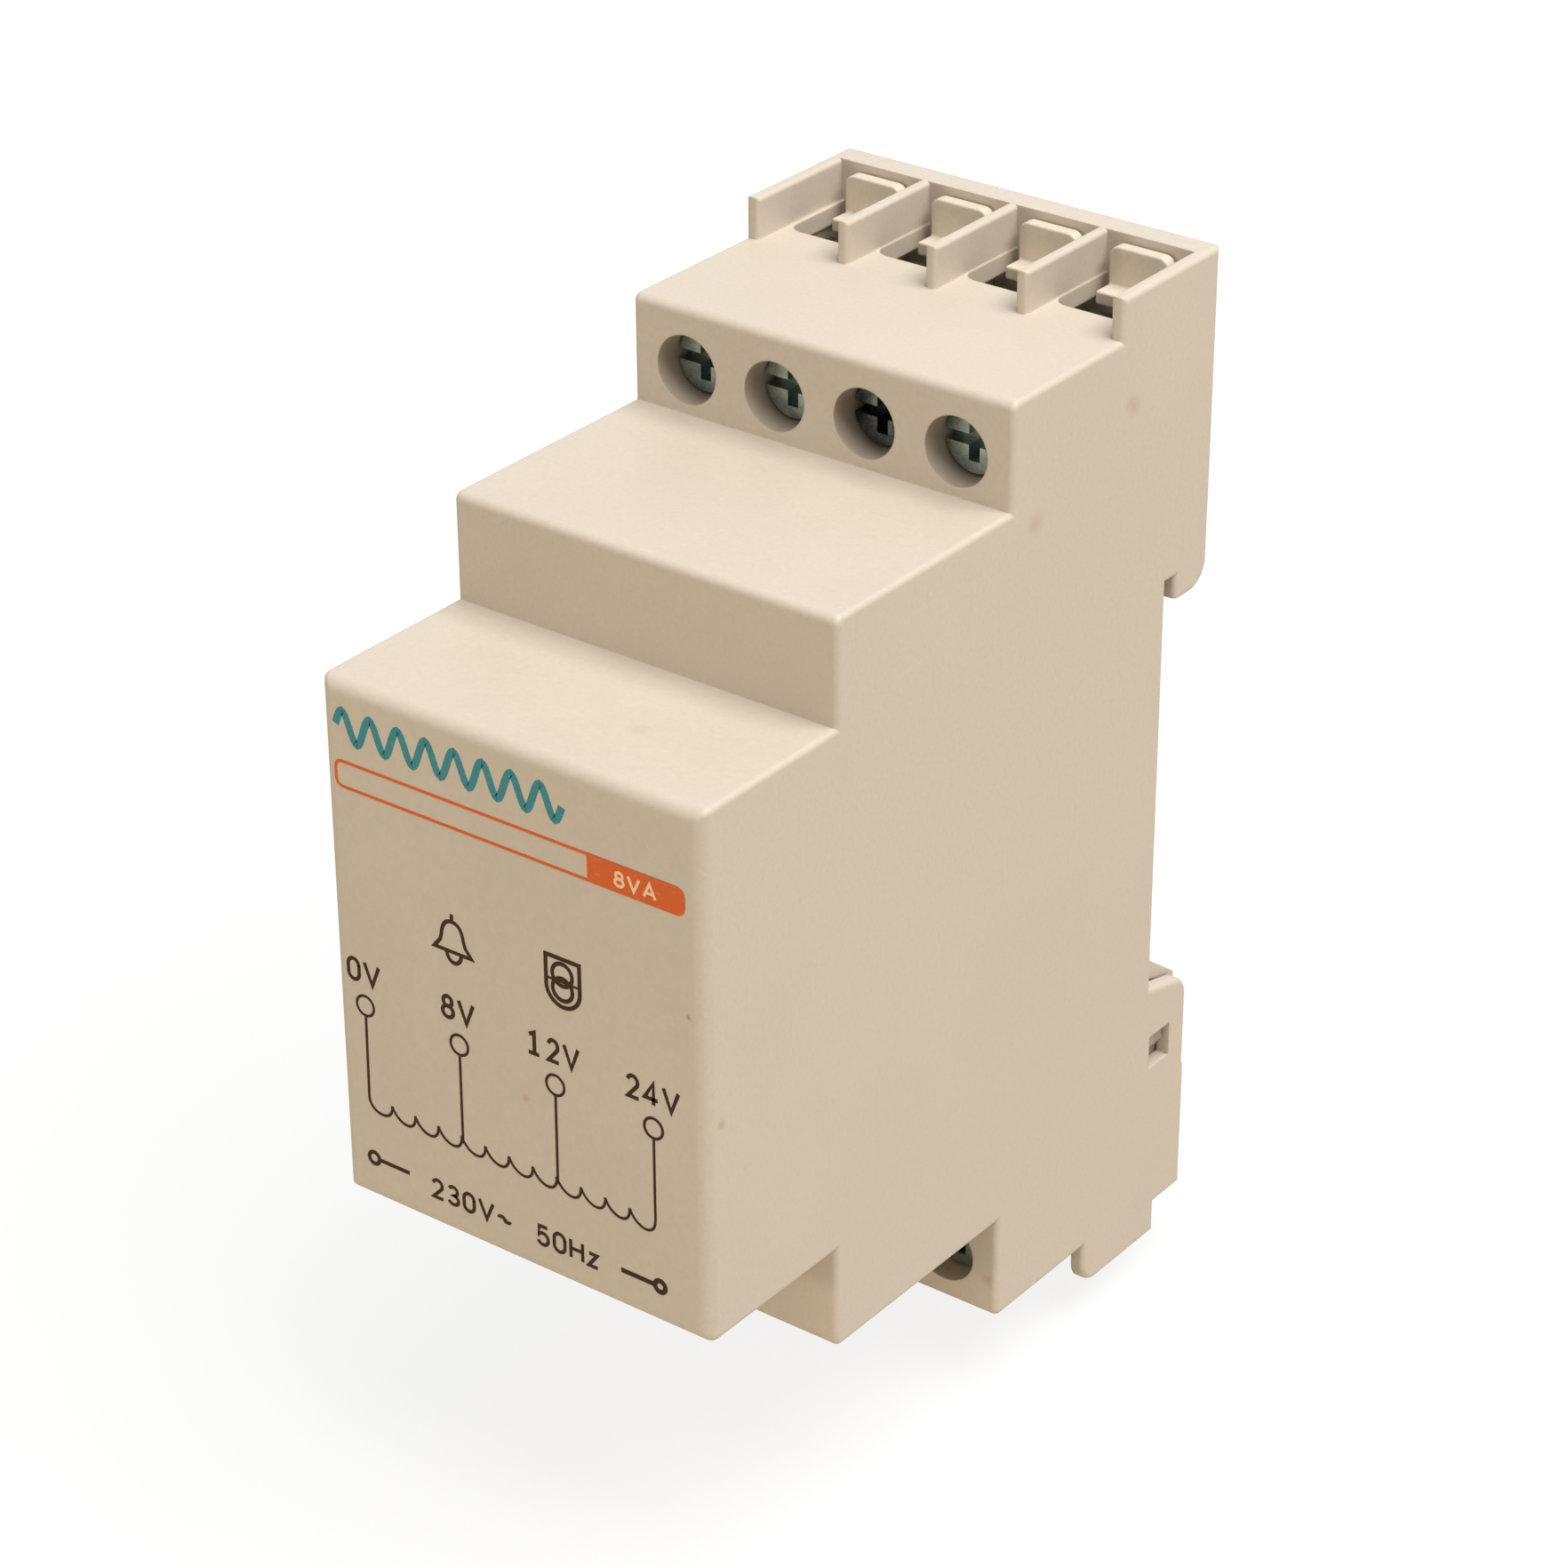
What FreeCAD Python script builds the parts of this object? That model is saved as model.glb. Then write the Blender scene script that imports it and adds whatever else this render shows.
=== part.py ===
import FreeCAD, Part
import Sketcher
import math
import os
import re
from FreeCAD import Rotation, Vector

# Bell transformer for a 35 mm top-hat rail, two modules wide.
# Millimetres. X across the width, +Y towards the wall behind the rail, +Z up.
# The origin is the middle of the face that seats on the rail.

doc = FreeCAD.newDocument("bell_transformer")
sheet = doc.addObject("Spreadsheet::Sheet", "sizes")

# Driving sizes: name, value, what it is
SIZES = [
    ("width", 36.0, "across two modules"),
    ("face_depth", 59.45, "front face to rail seat"),
    ("face_half", 22.6, "half height of the front face"),
    ("riser_one_reach", 43.65, "first riser before the rail seat"),
    ("riser_two_reach", 21.85, "second riser before the rail seat"),
    ("ledge_two_top", 31.5, "height of the middle ledge above the rail centre"),
    ("ledge_two_low", 31.7, "depth of the lower middle ledge below the rail centre"),
    ("ledge_three_top", 40.4, "height of the terminal ledge"),
    ("ledge_three_low", 41.1, "depth of the lower terminal ledge"),
    ("fin_top", 43.9, "height of the fins between the wires"),
    ("fin_reach", 7.45, "front of the fins before the rail seat"),
    ("fin_low", 45.2, "depth of the lower fins and cheeks"),
    ("fin_low_reach", 8.95, "front of the lower fins before the rail seat"),
    ("fin_low_rear", 1.9, "rear edge of the lower fins behind the seat"),
    ("fin_wall", 1.0, "thickness of a fin"),
    ("back_reach", 6.0, "rear wall behind the seat"),
    ("back_wall", 2.25, "thickness of the rear wall"),
    ("back_relief", 0.35, "step in the rear wall"),
    ("back_relief_height", 22.0, "height of that step"),
    ("side_wall", 1.2, "side wall"),
    ("shell_wall", 1.6, "front, riser and ledge walls"),
    ("corner_round", 0.7, "rounding of the outer edges"),
    ("face_round", 1.1, "rounding round the front face"),
    ("side_round", 0.45, "rounding round the side faces"),
    ("fin_round", 0.35, "rounding of the fins' crests"),
    ("channel_top", 17.3, "upper edge of the rail channel"),
    ("channel_height", 35.5, "rail channel"),
    ("hook_gap", 1.35, "groove that takes the rail's edge"),
    ("hook_lip", 2.0, "reach of the hook over the rail"),
    ("hook_shelf", 1.6, "wall above the hook groove"),
    ("hook_round", 2.2, "rounding under the hook"),
    ("foot_reach", 5.65, "rear of the foot behind the seat"),
    ("foot_step", 0.2, "step in the rear of the foot"),
    ("foot_step_depth", 30.3, "depth of that step"),
    ("foot_drop", 2.0, "top of the foot's cheeks below the channel"),
    ("foot_slope", 1.4, "fall of the cheek's top towards the rear"),
    ("foot_low", 42.3, "lower end of the foot"),
    ("foot_round", 2.0, "rounding of the foot's corners"),
    ("window_low", 28.1, "lower edge of the catch window"),
    ("window_tall", 3.1, "height of the catch window"),
    ("window_front", 0.15, "front edge of the catch window"),
    ("window_long", 3.0, "depth of the catch window"),
    ("edge_room", 0.94, "side of the housing beyond four terminal pitches"),
    ("screw_top", 35.2, "height of the upper screws"),
    ("screw_low", 36.4, "depth of the lower screws"),
    ("bore_radius", 2.85, "screwdriver hole"),
    ("guide_side", 0.7, "wall of the square screw guide"),
    ("recess", 2.4, "screw head behind the riser"),
    ("head_fit", 0.2, "clearance round the screw head"),
    ("head_height", 2.2, "screw head"),
    ("shank_radius", 1.7, "screw shank"),
    ("thread_fit", 0.05, "clearance of the shank in the cage"),
    ("shank_fit", 0.25, "clearance of the shank in the guide"),
    ("axial_fit", 0.1, "play under the screw head and at its tip"),
    ("guide_floor", 1.2, "shoulder under the screw head"),
    ("slot_wide", 0.9, "screwdriver slot"),
    ("slot_deep", 1.3, "screwdriver slot"),
    ("cross_wide", 1.0, "cross recess"),
    ("cross_long", 3.4, "cross recess"),
    ("bar_front", 5.2, "contact bar in front of the seat"),
    ("bar_thick", 1.0, "contact bar"),
    ("bar_fit", 0.25, "clearance of the contact bar in the cage"),
    ("bar_tail", 4.0, "length of the shoulder below the shelf"),
    ("cage_fit", 0.315, "clearance of the cage between the partitions"),
    ("cage_tall", 5.6, "clamp cage"),
    ("cage_wall", 0.8, "side walls of the cage"),
    ("cage_nut", 2.0, "threaded wall of the cage"),
    ("cage_jaw", 1.0, "clamping wall of the cage"),
    ("cage_open", 5.9, "inside length of the cage"),
    ("cage_gap", 0.25, "cage to contact bar when open"),
    ("entry_rib", 1.2, "wall between two wire entries"),
    ("entry_front", 4.05, "front edge of the wire entry before the seat"),
    ("entry_round", 1.3, "corners of the wire entry"),
    ("post_side", 1.015, "stepped post to the fin beside it"),
    ("post_thick", 1.1, "upright of the post"),
    ("post_gap", 0.2, "post to rear wall"),
    ("post_below_fins", 0.65, "post below the top of the fins"),
    ("toe_reach", 1.8, "toe of the post"),
    ("toe_top_gap", 0.4, "toe below the ledge"),
    ("toe_tall", 1.1, "toe of the post"),
    ("post_round", 0.9, "upper corners of the post"),
    ("shelf_gap", 6.8, "terminal shelf from the screw axis"),
    ("shelf_thick", 1.0, "terminal shelf"),
    ("inner_fit", 0.2, "clearance of the inner mouldings in the housing"),
    ("plate_thick", 1.8, "rail seat plate"),
    ("plate_tongue", 3.8, "tongue of the plate behind the hook shelf"),
    ("plate_skirt_gap", 1.0, "plate to the lower terminal shelf"),
    ("relief_deep", 0.3, "relief grooves beside the seat"),
    ("relief_low", 1.7, "height of the lower relief groove"),
    ("rear_wall", 1.45, "rear wall of the foot"),
    ("clip_side", 2.245, "rail clip to the post beside it"),
    ("clip_fit", 0.2, "clearance round the clip"),
    ("clip_nose", 1.4, "rise of the nose above the channel's lower edge"),
    ("clip_nose_thick", 0.4, "crest of the nose"),
    ("clip_tab", 3.0, "pull tab below the foot"),
    ("clip_tab_half", 5.0, "half width of the pull tab"),
    ("clip_slot", 1.3, "screwdriver slot in the tab"),
    ("clip_slot_half", 3.0, "half width of that slot"),
    ("guide_wall", 0.9, "walls of the clip guide"),
    ("spring_window_half", 2.6, "half width of the spring window"),
    ("spring_room", 10.4, "length of the spring"),
    ("spring_stop", 1.5, "rib that carries the spring"),
    ("spring_radius", 1.3, "mean radius of the spring"),
    ("spring_wire", 0.4, "side of the square spring wire"),
    ("spring_turns", 3.0, "turns of the spring"),
    ("core_gap", 0.9, "core behind the front wall"),
    ("core_rear", 7.15, "core before the rail seat plate"),
    ("core_top", 1.0, "core to the housing above and below it"),
    ("core_seat", 0.1, "clearance at the core's ribs"),
    ("rib_wide", 1.2, "ribs that hold the core"),
    ("rib_inset", 2.8, "ribs from the side of the core"),
    ("bobbin_fit", 0.2, "bobbin on the limb"),
    ("bobbin_wall", 1.0, "bobbin"),
    ("flange_side_gap", 0.7, "flange of the bobbin to the side wall"),
    ("flange_gap", 0.3, "flange in the core's window"),
    ("winding_gap", 1.2, "winding in the core's window"),
    ("winding_side_gap", 1.6, "winding to the side wall"),
    ("winding_round", 2.4, "corners of the windings"),
    ("tape_thick", 0.3, "insulating tape"),
    ("fuse_radius", 1.8, "thermal cut-out"),
    ("fuse_long", 10.0, "thermal cut-out"),
    ("lead_radius", 0.55, "insulated lead"),
    ("ink_thick", 0.05, "printed ink"),
    ("bar_print_top", 16.05, "upper edge of the printed bar"),
    ("bar_print_tall", 2.4, "printed bar"),
    ("bar_print_left", 1.15, "left end of the printed bar from the housing's side"),
    ("bar_print_right", 1.65, "right end of the printed bar from the housing's side"),
    ("bar_print_fill", 8.95, "filled end of the printed bar"),
    ("bar_print_line", 0.28, "line of the printed bar"),
    ("bar_print_round", 0.9, "corners of the printed bar"),
]

for row, (name, value, note) in enumerate(SIZES, start=1):
    sheet.set("A%d" % row, name)
    sheet.set("B%d" % row, "%.10g" % value)
    sheet.set("C%d" % row, note)
    sheet.setAlias("B%d" % row, name)
doc.recompute()

NAMES = {name for name, value, note in SIZES}


def size(name):
    """Read one size from the sheet."""
    return float(sheet.get(name))


def formula(text):
    """Put the sheet's name in front of each size in a formula."""
    def named(word):
        return ("sizes." if word.group(0) in NAMES else "") + word.group(0)

    return re.sub(r"[a-z_]+", named, text)


# Places that several pieces share, as formulas of the sizes
FRONT = "(-face_depth)"
RISER_ONE = "(-riser_one_reach)"
RISER_TWO = "(-riser_two_reach)"
CHANNEL_LOW = "(channel_top-channel_height)"
FOOT_TOP = "(channel_top-channel_height-foot_drop)"
INNER_HALF = "(width/2-side_wall)"
INSERT_HALF = "(width/2-side_wall-inner_fit)"
BACK_INNER = "(back_reach-back_wall)"
POST_REAR = "(back_reach-back_wall-post_gap)"
POST_FRONT = "(back_reach-back_wall-post_gap-post_thick)"
PITCH = "((width-2*edge_room)/4)"
ENTRY_WIDE = "(%s-entry_rib)" % PITCH
POST_WIDE = "(%s-fin_wall-2*post_side)" % PITCH
CAGE_WIDE = "(%s-fin_wall-2*cage_fit)" % PITCH
BAR_WIDE = "(%s-2*cage_wall-2*bar_fit)" % CAGE_WIDE
BAR_TAIL = "(%s-2*bar_fit)" % CAGE_WIDE
CLIP_HALF = "(1.5*%s-%s/2-clip_side)" % (PITCH, POST_WIDE)
HEAD_RADIUS = "(bore_radius-head_fit)"
HEAD_FRONT = "(recess-riser_two_reach)"
HEAD_REAR = "(recess+head_height-riser_two_reach)"
GUIDE_SHOULDER = "(recess+head_height+axial_fit-riser_two_reach)"
GUIDE_END = "(recess+head_height+axial_fit+guide_floor-riser_two_reach)"
SHELF_TOP = "(screw_top-shelf_gap)"
SHELF_LOW = "(screw_low-shelf_gap)"
PLATE_FRONT = "(-plate_thick)"
FOOT_INNER = "(foot_reach-rear_wall)"
CORE_FRONT = "(-face_depth+shell_wall+core_gap)"
LIMB = "((face_depth-shell_wall-core_gap-plate_thick-core_rear)/3)"
CORE_LONG = "(3*%s)" % LIMB
CORE_MIDDLE = "(%s+1.5*%s)" % (CORE_FRONT, LIMB)
CORE_HALF = "(face_half-shell_wall-core_top)"
WINDOW_HALF = "(%s-%s/2)" % (CORE_HALF, LIMB)
WINDING = "(%s/2-bobbin_fit-bobbin_wall-winding_gap)" % LIMB
STACK_HALF = "(%s-winding_side_gap-%s-bobbin_wall-bobbin_fit)" % (INNER_HALF, WINDING)
RIB_X = "(%s-rib_inset)" % STACK_HALF
TERMINALS_TOP = [-1.5, -0.5, 0.5, 1.5]
TERMINALS_LOW = [-1.5, 1.5]


def across(step, more=""):
    """Place across the row of terminals, counted in pitches from the middle."""
    return "%g*%s%s" % (step, PITCH, more)


def wide(step, width):
    """Both ends of a width about one terminal."""
    return across(step, "-%s/2" % width), across(step, "+%s/2" % width)


def worth(text):
    """Read a formula of the sizes as a number."""
    return float(sheet.evalExpression(formula(text)))


def new_body(label):
    """Start a sub-part."""
    body = doc.addObject("PartDesign::Body", label)
    body.Label = label
    return body


def origin_feature(body, role):
    """Find an origin plane or axis of a sub-part."""
    return [item for item in body.Origin.OriginFeatures if item.Role == role][0]


def box(low_a, high_a, low_b, high_b):
    """Corners of a rectangle."""
    return [(low_a, low_b), (high_a, low_b), (high_a, high_b), (low_a, high_b)]


def place(sketch, geometry, vertex, across, up, guess):
    """Tie one point of a sketch to two formulas."""
    rules = (("DistanceX", -2, across, guess.x), ("DistanceY", -1, up, guess.y))
    for kind, axis, text, start in rules:
        if text == "0":
            sketch.addConstraint(Sketcher.Constraint("PointOnObject", geometry, vertex, axis))
        else:
            index = sketch.addConstraint(Sketcher.Constraint(kind, -1, 1, geometry, vertex, start))
            sketch.setExpression("Constraints[%d]" % index, formula(text))


def draw_loop(sketch, points):
    """Closed outline of straight edges."""
    first = sketch.GeometryCount
    count = len(points)
    turn = 2 * math.pi / count
    guess = [Vector(math.cos(turn * i), math.sin(turn * i), 0) for i in range(count)]
    for i in range(count):
        sketch.addGeometry(Part.LineSegment(guess[i], guess[(i + 1) % count]))
    for i in range(count):
        after = first + (i + 1) % count
        sketch.addConstraint(Sketcher.Constraint("Coincident", first + i, 2, after, 1))
    for i, (across, up) in enumerate(points):
        place(sketch, first + i, 1, across, up, guess[i])


def draw_circle(sketch, across, up, radius):
    """Circle at two formulas."""
    index = sketch.addGeometry(Part.Circle(Vector(1, 1, 0), Vector(0, 0, 1), 1))
    rule = sketch.addConstraint(Sketcher.Constraint("Radius", index, 1.0))
    sketch.setExpression("Constraints[%d]" % rule, formula(radius))
    place(sketch, index, 3, across, up, Vector(1, 1, 0))


def new_sketch(body, name, plane, at="0"):
    """Sketch on a plane of the sub-part, at a place along the plane's world axis."""
    sketch = body.newObject("Sketcher::SketchObject", name)
    sketch.AttachmentSupport = [(origin_feature(body, plane + "_Plane"), "")]
    sketch.MapMode = "FlatFace"
    sign = "-" if plane == "XZ" else ""
    sketch.setExpression("AttachmentOffset.Base.z", formula("%s(%s)" % (sign, at)))
    return sketch


def prism(body, name, plane, low, high, loops, cut=False):
    """Pad or pocket outlines between two places along the plane's world axis."""
    sketch = new_sketch(body, name + "_sketch", plane, high if plane == "XZ" else low)
    for loop in loops:
        if isinstance(loop, tuple):
            draw_circle(sketch, *loop)
        else:
            draw_loop(sketch, loop)
    feature = body.newObject("PartDesign::Pocket" if cut else "PartDesign::Pad", name)
    feature.Profile = (sketch, [""])
    feature.setExpression("Length", formula("(%s)-(%s)" % (high, low)))
    feature.Reversed = cut
    doc.recompute()
    return feature


def cut(body, name, plane, low, high, loops):
    """Pocket that has to remove material."""
    before = body.Shape.Volume
    feature = prism(body, name, plane, low, high, loops, cut=True)
    if body.Shape.Volume > before - 1e-6:
        raise RuntimeError(name + " cuts nothing")
    return feature


def round_edges(body, name, radius, wanted):
    """Fillet the edges that a test picks."""
    base = body.Tip
    edges = ["Edge%d" % (i + 1) for i, edge in enumerate(base.Shape.Edges) if wanted(edge)]
    if not edges:
        raise RuntimeError(name + " finds no edge")
    feature = body.newObject("PartDesign::Fillet", name)
    feature.Base = (base, edges)
    feature.setExpression("Radius", formula(radius))
    doc.recompute()
    return feature


def turned(body, name, points):
    """Revolve an outline in the XY plane about the Y axis."""
    sketch = new_sketch(body, name + "_sketch", "XY")
    draw_loop(sketch, points)
    feature = body.newObject("PartDesign::Revolution", name)
    feature.Profile = (sketch, [""])
    feature.ReferenceAxis = (origin_feature(body, "Y_Axis"), [""])
    feature.Angle = 360
    doc.recompute()
    return feature


def along(edge, direction):
    """True where a straight edge runs along a direction."""
    if len(edge.Vertexes) != 2:
        return False
    span = edge.Vertexes[1].Point - edge.Vertexes[0].Point
    return near(span.Length, edge.Length, 1e-4) and near(abs(span.dot(direction)), edge.Length, 1e-4)


def near(value, target, reach=0.02):
    """True where two lengths agree."""
    return abs(value - target) < reach


# Housing: one moulding with the stepped front, fins, hook and foot cheeks

HOUSING_OUTLINE = [
    (FRONT, "-face_half"),
    (FRONT, "face_half"),
    (RISER_ONE, "face_half"),
    (RISER_ONE, "ledge_two_top"),
    (RISER_TWO, "ledge_two_top"),
    (RISER_TWO, "ledge_three_top"),
    ("-fin_reach", "ledge_three_top"),
    ("-fin_reach", "fin_top"),
    ("back_reach", "fin_top"),
    ("back_reach", "back_relief_height"),
    ("back_reach-back_relief", "back_relief_height"),
    ("back_reach-back_relief", "channel_top-hook_lip"),
    ("hook_gap", "channel_top-hook_lip"),
    ("hook_gap", "channel_top"),
    ("0", "channel_top"),
    ("0", FOOT_TOP),
    ("foot_reach", FOOT_TOP + "-foot_slope"),
    ("foot_reach", "-foot_step_depth"),
    ("foot_reach+foot_step", "-foot_step_depth"),
    ("foot_reach+foot_step", "-foot_low"),
    ("fin_low_rear", "-foot_low"),
    ("fin_low_rear", "-fin_low"),
    ("-fin_low_reach", "-fin_low"),
    ("-fin_low_reach", "-ledge_three_low"),
    (RISER_TWO, "-ledge_three_low"),
    (RISER_TWO, "-ledge_two_low"),
    (RISER_ONE, "-ledge_two_low"),
    (RISER_ONE, "-face_half"),
]

HOUSING_CAVITY = [
    ("-face_depth+shell_wall", "shell_wall-face_half"),
    ("-face_depth+shell_wall", "face_half-shell_wall"),
    (RISER_ONE + "+shell_wall", "face_half-shell_wall"),
    (RISER_ONE + "+shell_wall", "ledge_two_top-shell_wall"),
    (RISER_TWO + "+shell_wall", "ledge_two_top-shell_wall"),
    (RISER_TWO + "+shell_wall", "ledge_three_top-shell_wall"),
    (BACK_INNER, "ledge_three_top-shell_wall"),
    (BACK_INNER, "channel_top+hook_shelf"),
    ("0", "channel_top+hook_shelf"),
    ("0", "0"),
    ("2*back_reach", "0"),
    ("2*back_reach", "-fin_low-back_reach"),
    ("-plate_thick-axial_fit", "-fin_low-back_reach"),
    ("-plate_thick-axial_fit", "shell_wall-ledge_three_low"),
    (RISER_TWO + "+shell_wall", "shell_wall-ledge_three_low"),
    (RISER_TWO + "+shell_wall", "shell_wall-ledge_two_low"),
    (RISER_ONE + "+shell_wall", "shell_wall-ledge_two_low"),
    (RISER_ONE + "+shell_wall", "shell_wall-face_half"),
]


def bay(step, low, high):
    """Edges of a terminal bay between its fins, as the two ends of a range across X."""
    left = across(step - 0.5, "+fin_wall/2") if low else "-" + INNER_HALF
    right = across(step + 0.5, "-fin_wall/2") if high else INNER_HALF
    return left, right


def make_housing():
    """Stepped one-piece housing."""
    body = new_body("housing")
    prism(body, "stepped_block", "YZ", "-width/2", "width/2", [HOUSING_OUTLINE])
    half = size("width") / 2
    front = -size("face_depth")

    def at_hook(edge):
        middle = edge.CenterOfMass
        rear = near(middle.y, size("back_reach") - size("back_relief"))
        low = near(middle.z, size("channel_top") - size("hook_lip"))
        return along(edge, Vector(1, 0, 0)) and rear and low

    def at_foot(edge):
        middle = edge.CenterOfMass
        top = near(middle.y, size("foot_reach")) and near(middle.z, worth(FOOT_TOP + "-foot_slope"))
        low = near(middle.y, -size("fin_low_reach")) and near(middle.z, -size("fin_low"))
        return along(edge, Vector(1, 0, 0)) and (top or low)

    def round_face(edge):
        return near(edge.CenterOfMass.y, front)

    def convex_step(edge):
        middle = edge.CenterOfMass
        if not along(edge, Vector(1, 0, 0)):
            return False
        places = [
            (-size("riser_one_reach"), size("ledge_two_top")),
            (-size("riser_two_reach"), size("ledge_three_top")),
            (-size("riser_two_reach"), -size("ledge_three_low")),
            (-size("riser_one_reach"), -size("ledge_two_low")),
        ]
        return any(near(middle.y, y) and near(middle.z, z) for y, z in places)

    def side_edge(edge):
        middle = edge.CenterOfMass
        behind = middle.y > (size("hook_gap") + size("back_reach")) / 4
        hook = behind and 0 < middle.z < size("back_relief_height") + size("axial_fit")
        return near(abs(middle.x), half) and near(edge.BoundBox.XLength, 0) and not hook

    round_edges(body, "hook_rounding", "hook_round", at_hook)
    round_edges(body, "foot_rounding", "foot_round", at_foot)
    round_edges(body, "step_rounding", "corner_round", convex_step)
    round_edges(body, "face_rounding", "face_round", round_face)
    round_edges(body, "side_rounding", "side_round", side_edge)
    cut(body, "cavity", "YZ", "-" + INNER_HALF, INNER_HALF, [HOUSING_CAVITY])
    bays = [box(*bay(step, step > -1.5, step < 1.5), "ledge_three_top", "fin_top+fin_wall")
            for step in TERMINALS_TOP]
    cut(body, "upper_bays", "XZ", "-fin_reach-fin_wall", BACK_INNER, bays)

    def fin_edge(edge):
        middle = edge.CenterOfMass
        lengthwise = along(edge, Vector(0, 1, 0)) and near(middle.z, size("fin_top"))
        front_edge = near(middle.y, -size("fin_reach")) and near(edge.BoundBox.YLength, 0)
        upright = along(edge, Vector(0, 0, 1)) and middle.z > size("ledge_three_top")
        inside = abs(middle.x) < half - size("side_wall") / 2
        return inside and (lengthwise or front_edge and upright)

    round_edges(body, "fin_rounding", "fin_round", fin_edge)
    lower = [("-" + INNER_HALF, across(-1, "-fin_wall/2")),
             (across(-1, "+fin_wall/2"), across(1, "-fin_wall/2")),
             (across(1, "+fin_wall/2"), INNER_HALF)]
    low_bays = [box(left, right, "-fin_low-fin_wall", "-ledge_three_low") for left, right in lower]
    cut(body, "lower_bays", "XZ", "-fin_low_reach-fin_wall", "fin_low_rear", low_bays)
    walls = [box(across(step, "-fin_wall/2"), across(step, "+fin_wall/2"),
                 SHELF_TOP + "+axial_fit", "ledge_three_top-shell_wall") for step in (-1, 0, 1)]
    walls += [box(across(step, "-fin_wall/2"), across(step, "+fin_wall/2"),
                  "shell_wall-ledge_three_low", "-" + SHELF_LOW + "-axial_fit") for step in (-1, 1)]
    prism(body, "partitions", "XZ", RISER_TWO + "+shell_wall", PLATE_FRONT + "-inner_fit", walls)
    screws = [(across(step), "screw_top") for step in TERMINALS_TOP]
    screws += [(across(step), "-screw_low") for step in TERMINALS_LOW]
    guides = [box(x + "-bore_radius-guide_side", x + "+bore_radius+guide_side",
                  z + "-bore_radius-guide_side", z + "+bore_radius+guide_side") for x, z in screws]
    prism(body, "screw_guides", "XZ", RISER_TWO + "+shell_wall", GUIDE_END, guides)
    cut(body, "driver_holes", "XZ", RISER_TWO + "-fin_wall", GUIDE_SHOULDER,
        [(x, z, "bore_radius") for x, z in screws])
    cut(body, "shank_holes", "XZ", GUIDE_SHOULDER, GUIDE_END,
        [(x, z, "shank_radius+shank_fit") for x, z in screws])
    entries = [box(*wide(step, ENTRY_WIDE), "-entry_front", BACK_INNER)
               for step in TERMINALS_TOP]
    cut(body, "upper_entries", "XY", "ledge_three_top-shell_wall", "ledge_three_top", entries)
    round_edges(body, "entry_corners", "entry_round", lambda edge: along(edge, Vector(0, 0, 1))
                and near(edge.CenterOfMass.y, -size("entry_front")))
    low_entries = [box(*wide(step, ENTRY_WIDE), "-entry_front", "0")
                   for step in TERMINALS_LOW]
    cut(body, "lower_entries", "XY", "-ledge_three_low", "shell_wall-ledge_three_low", low_entries)
    window = box("window_front", "window_front+window_long", "-window_low", "window_tall-window_low")
    cut(body, "catch_windows", "YZ", "-width/2", "width/2", [window])
    ribs = [box("%s-rib_wide/2" % x, "%s+rib_wide/2" % x, low, high)
            for x in ("-" + RIB_X, RIB_X)
            for low, high in ((CORE_HALF + "+core_seat", "face_half-shell_wall"),
                              ("shell_wall-face_half", "-" + CORE_HALF + "-core_seat"))]
    prism(body, "core_ribs", "XZ", "-face_depth+shell_wall", RISER_ONE, ribs)
    return body


# Rear insert: rail seat, clip guide and the rear wall of the foot

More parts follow.
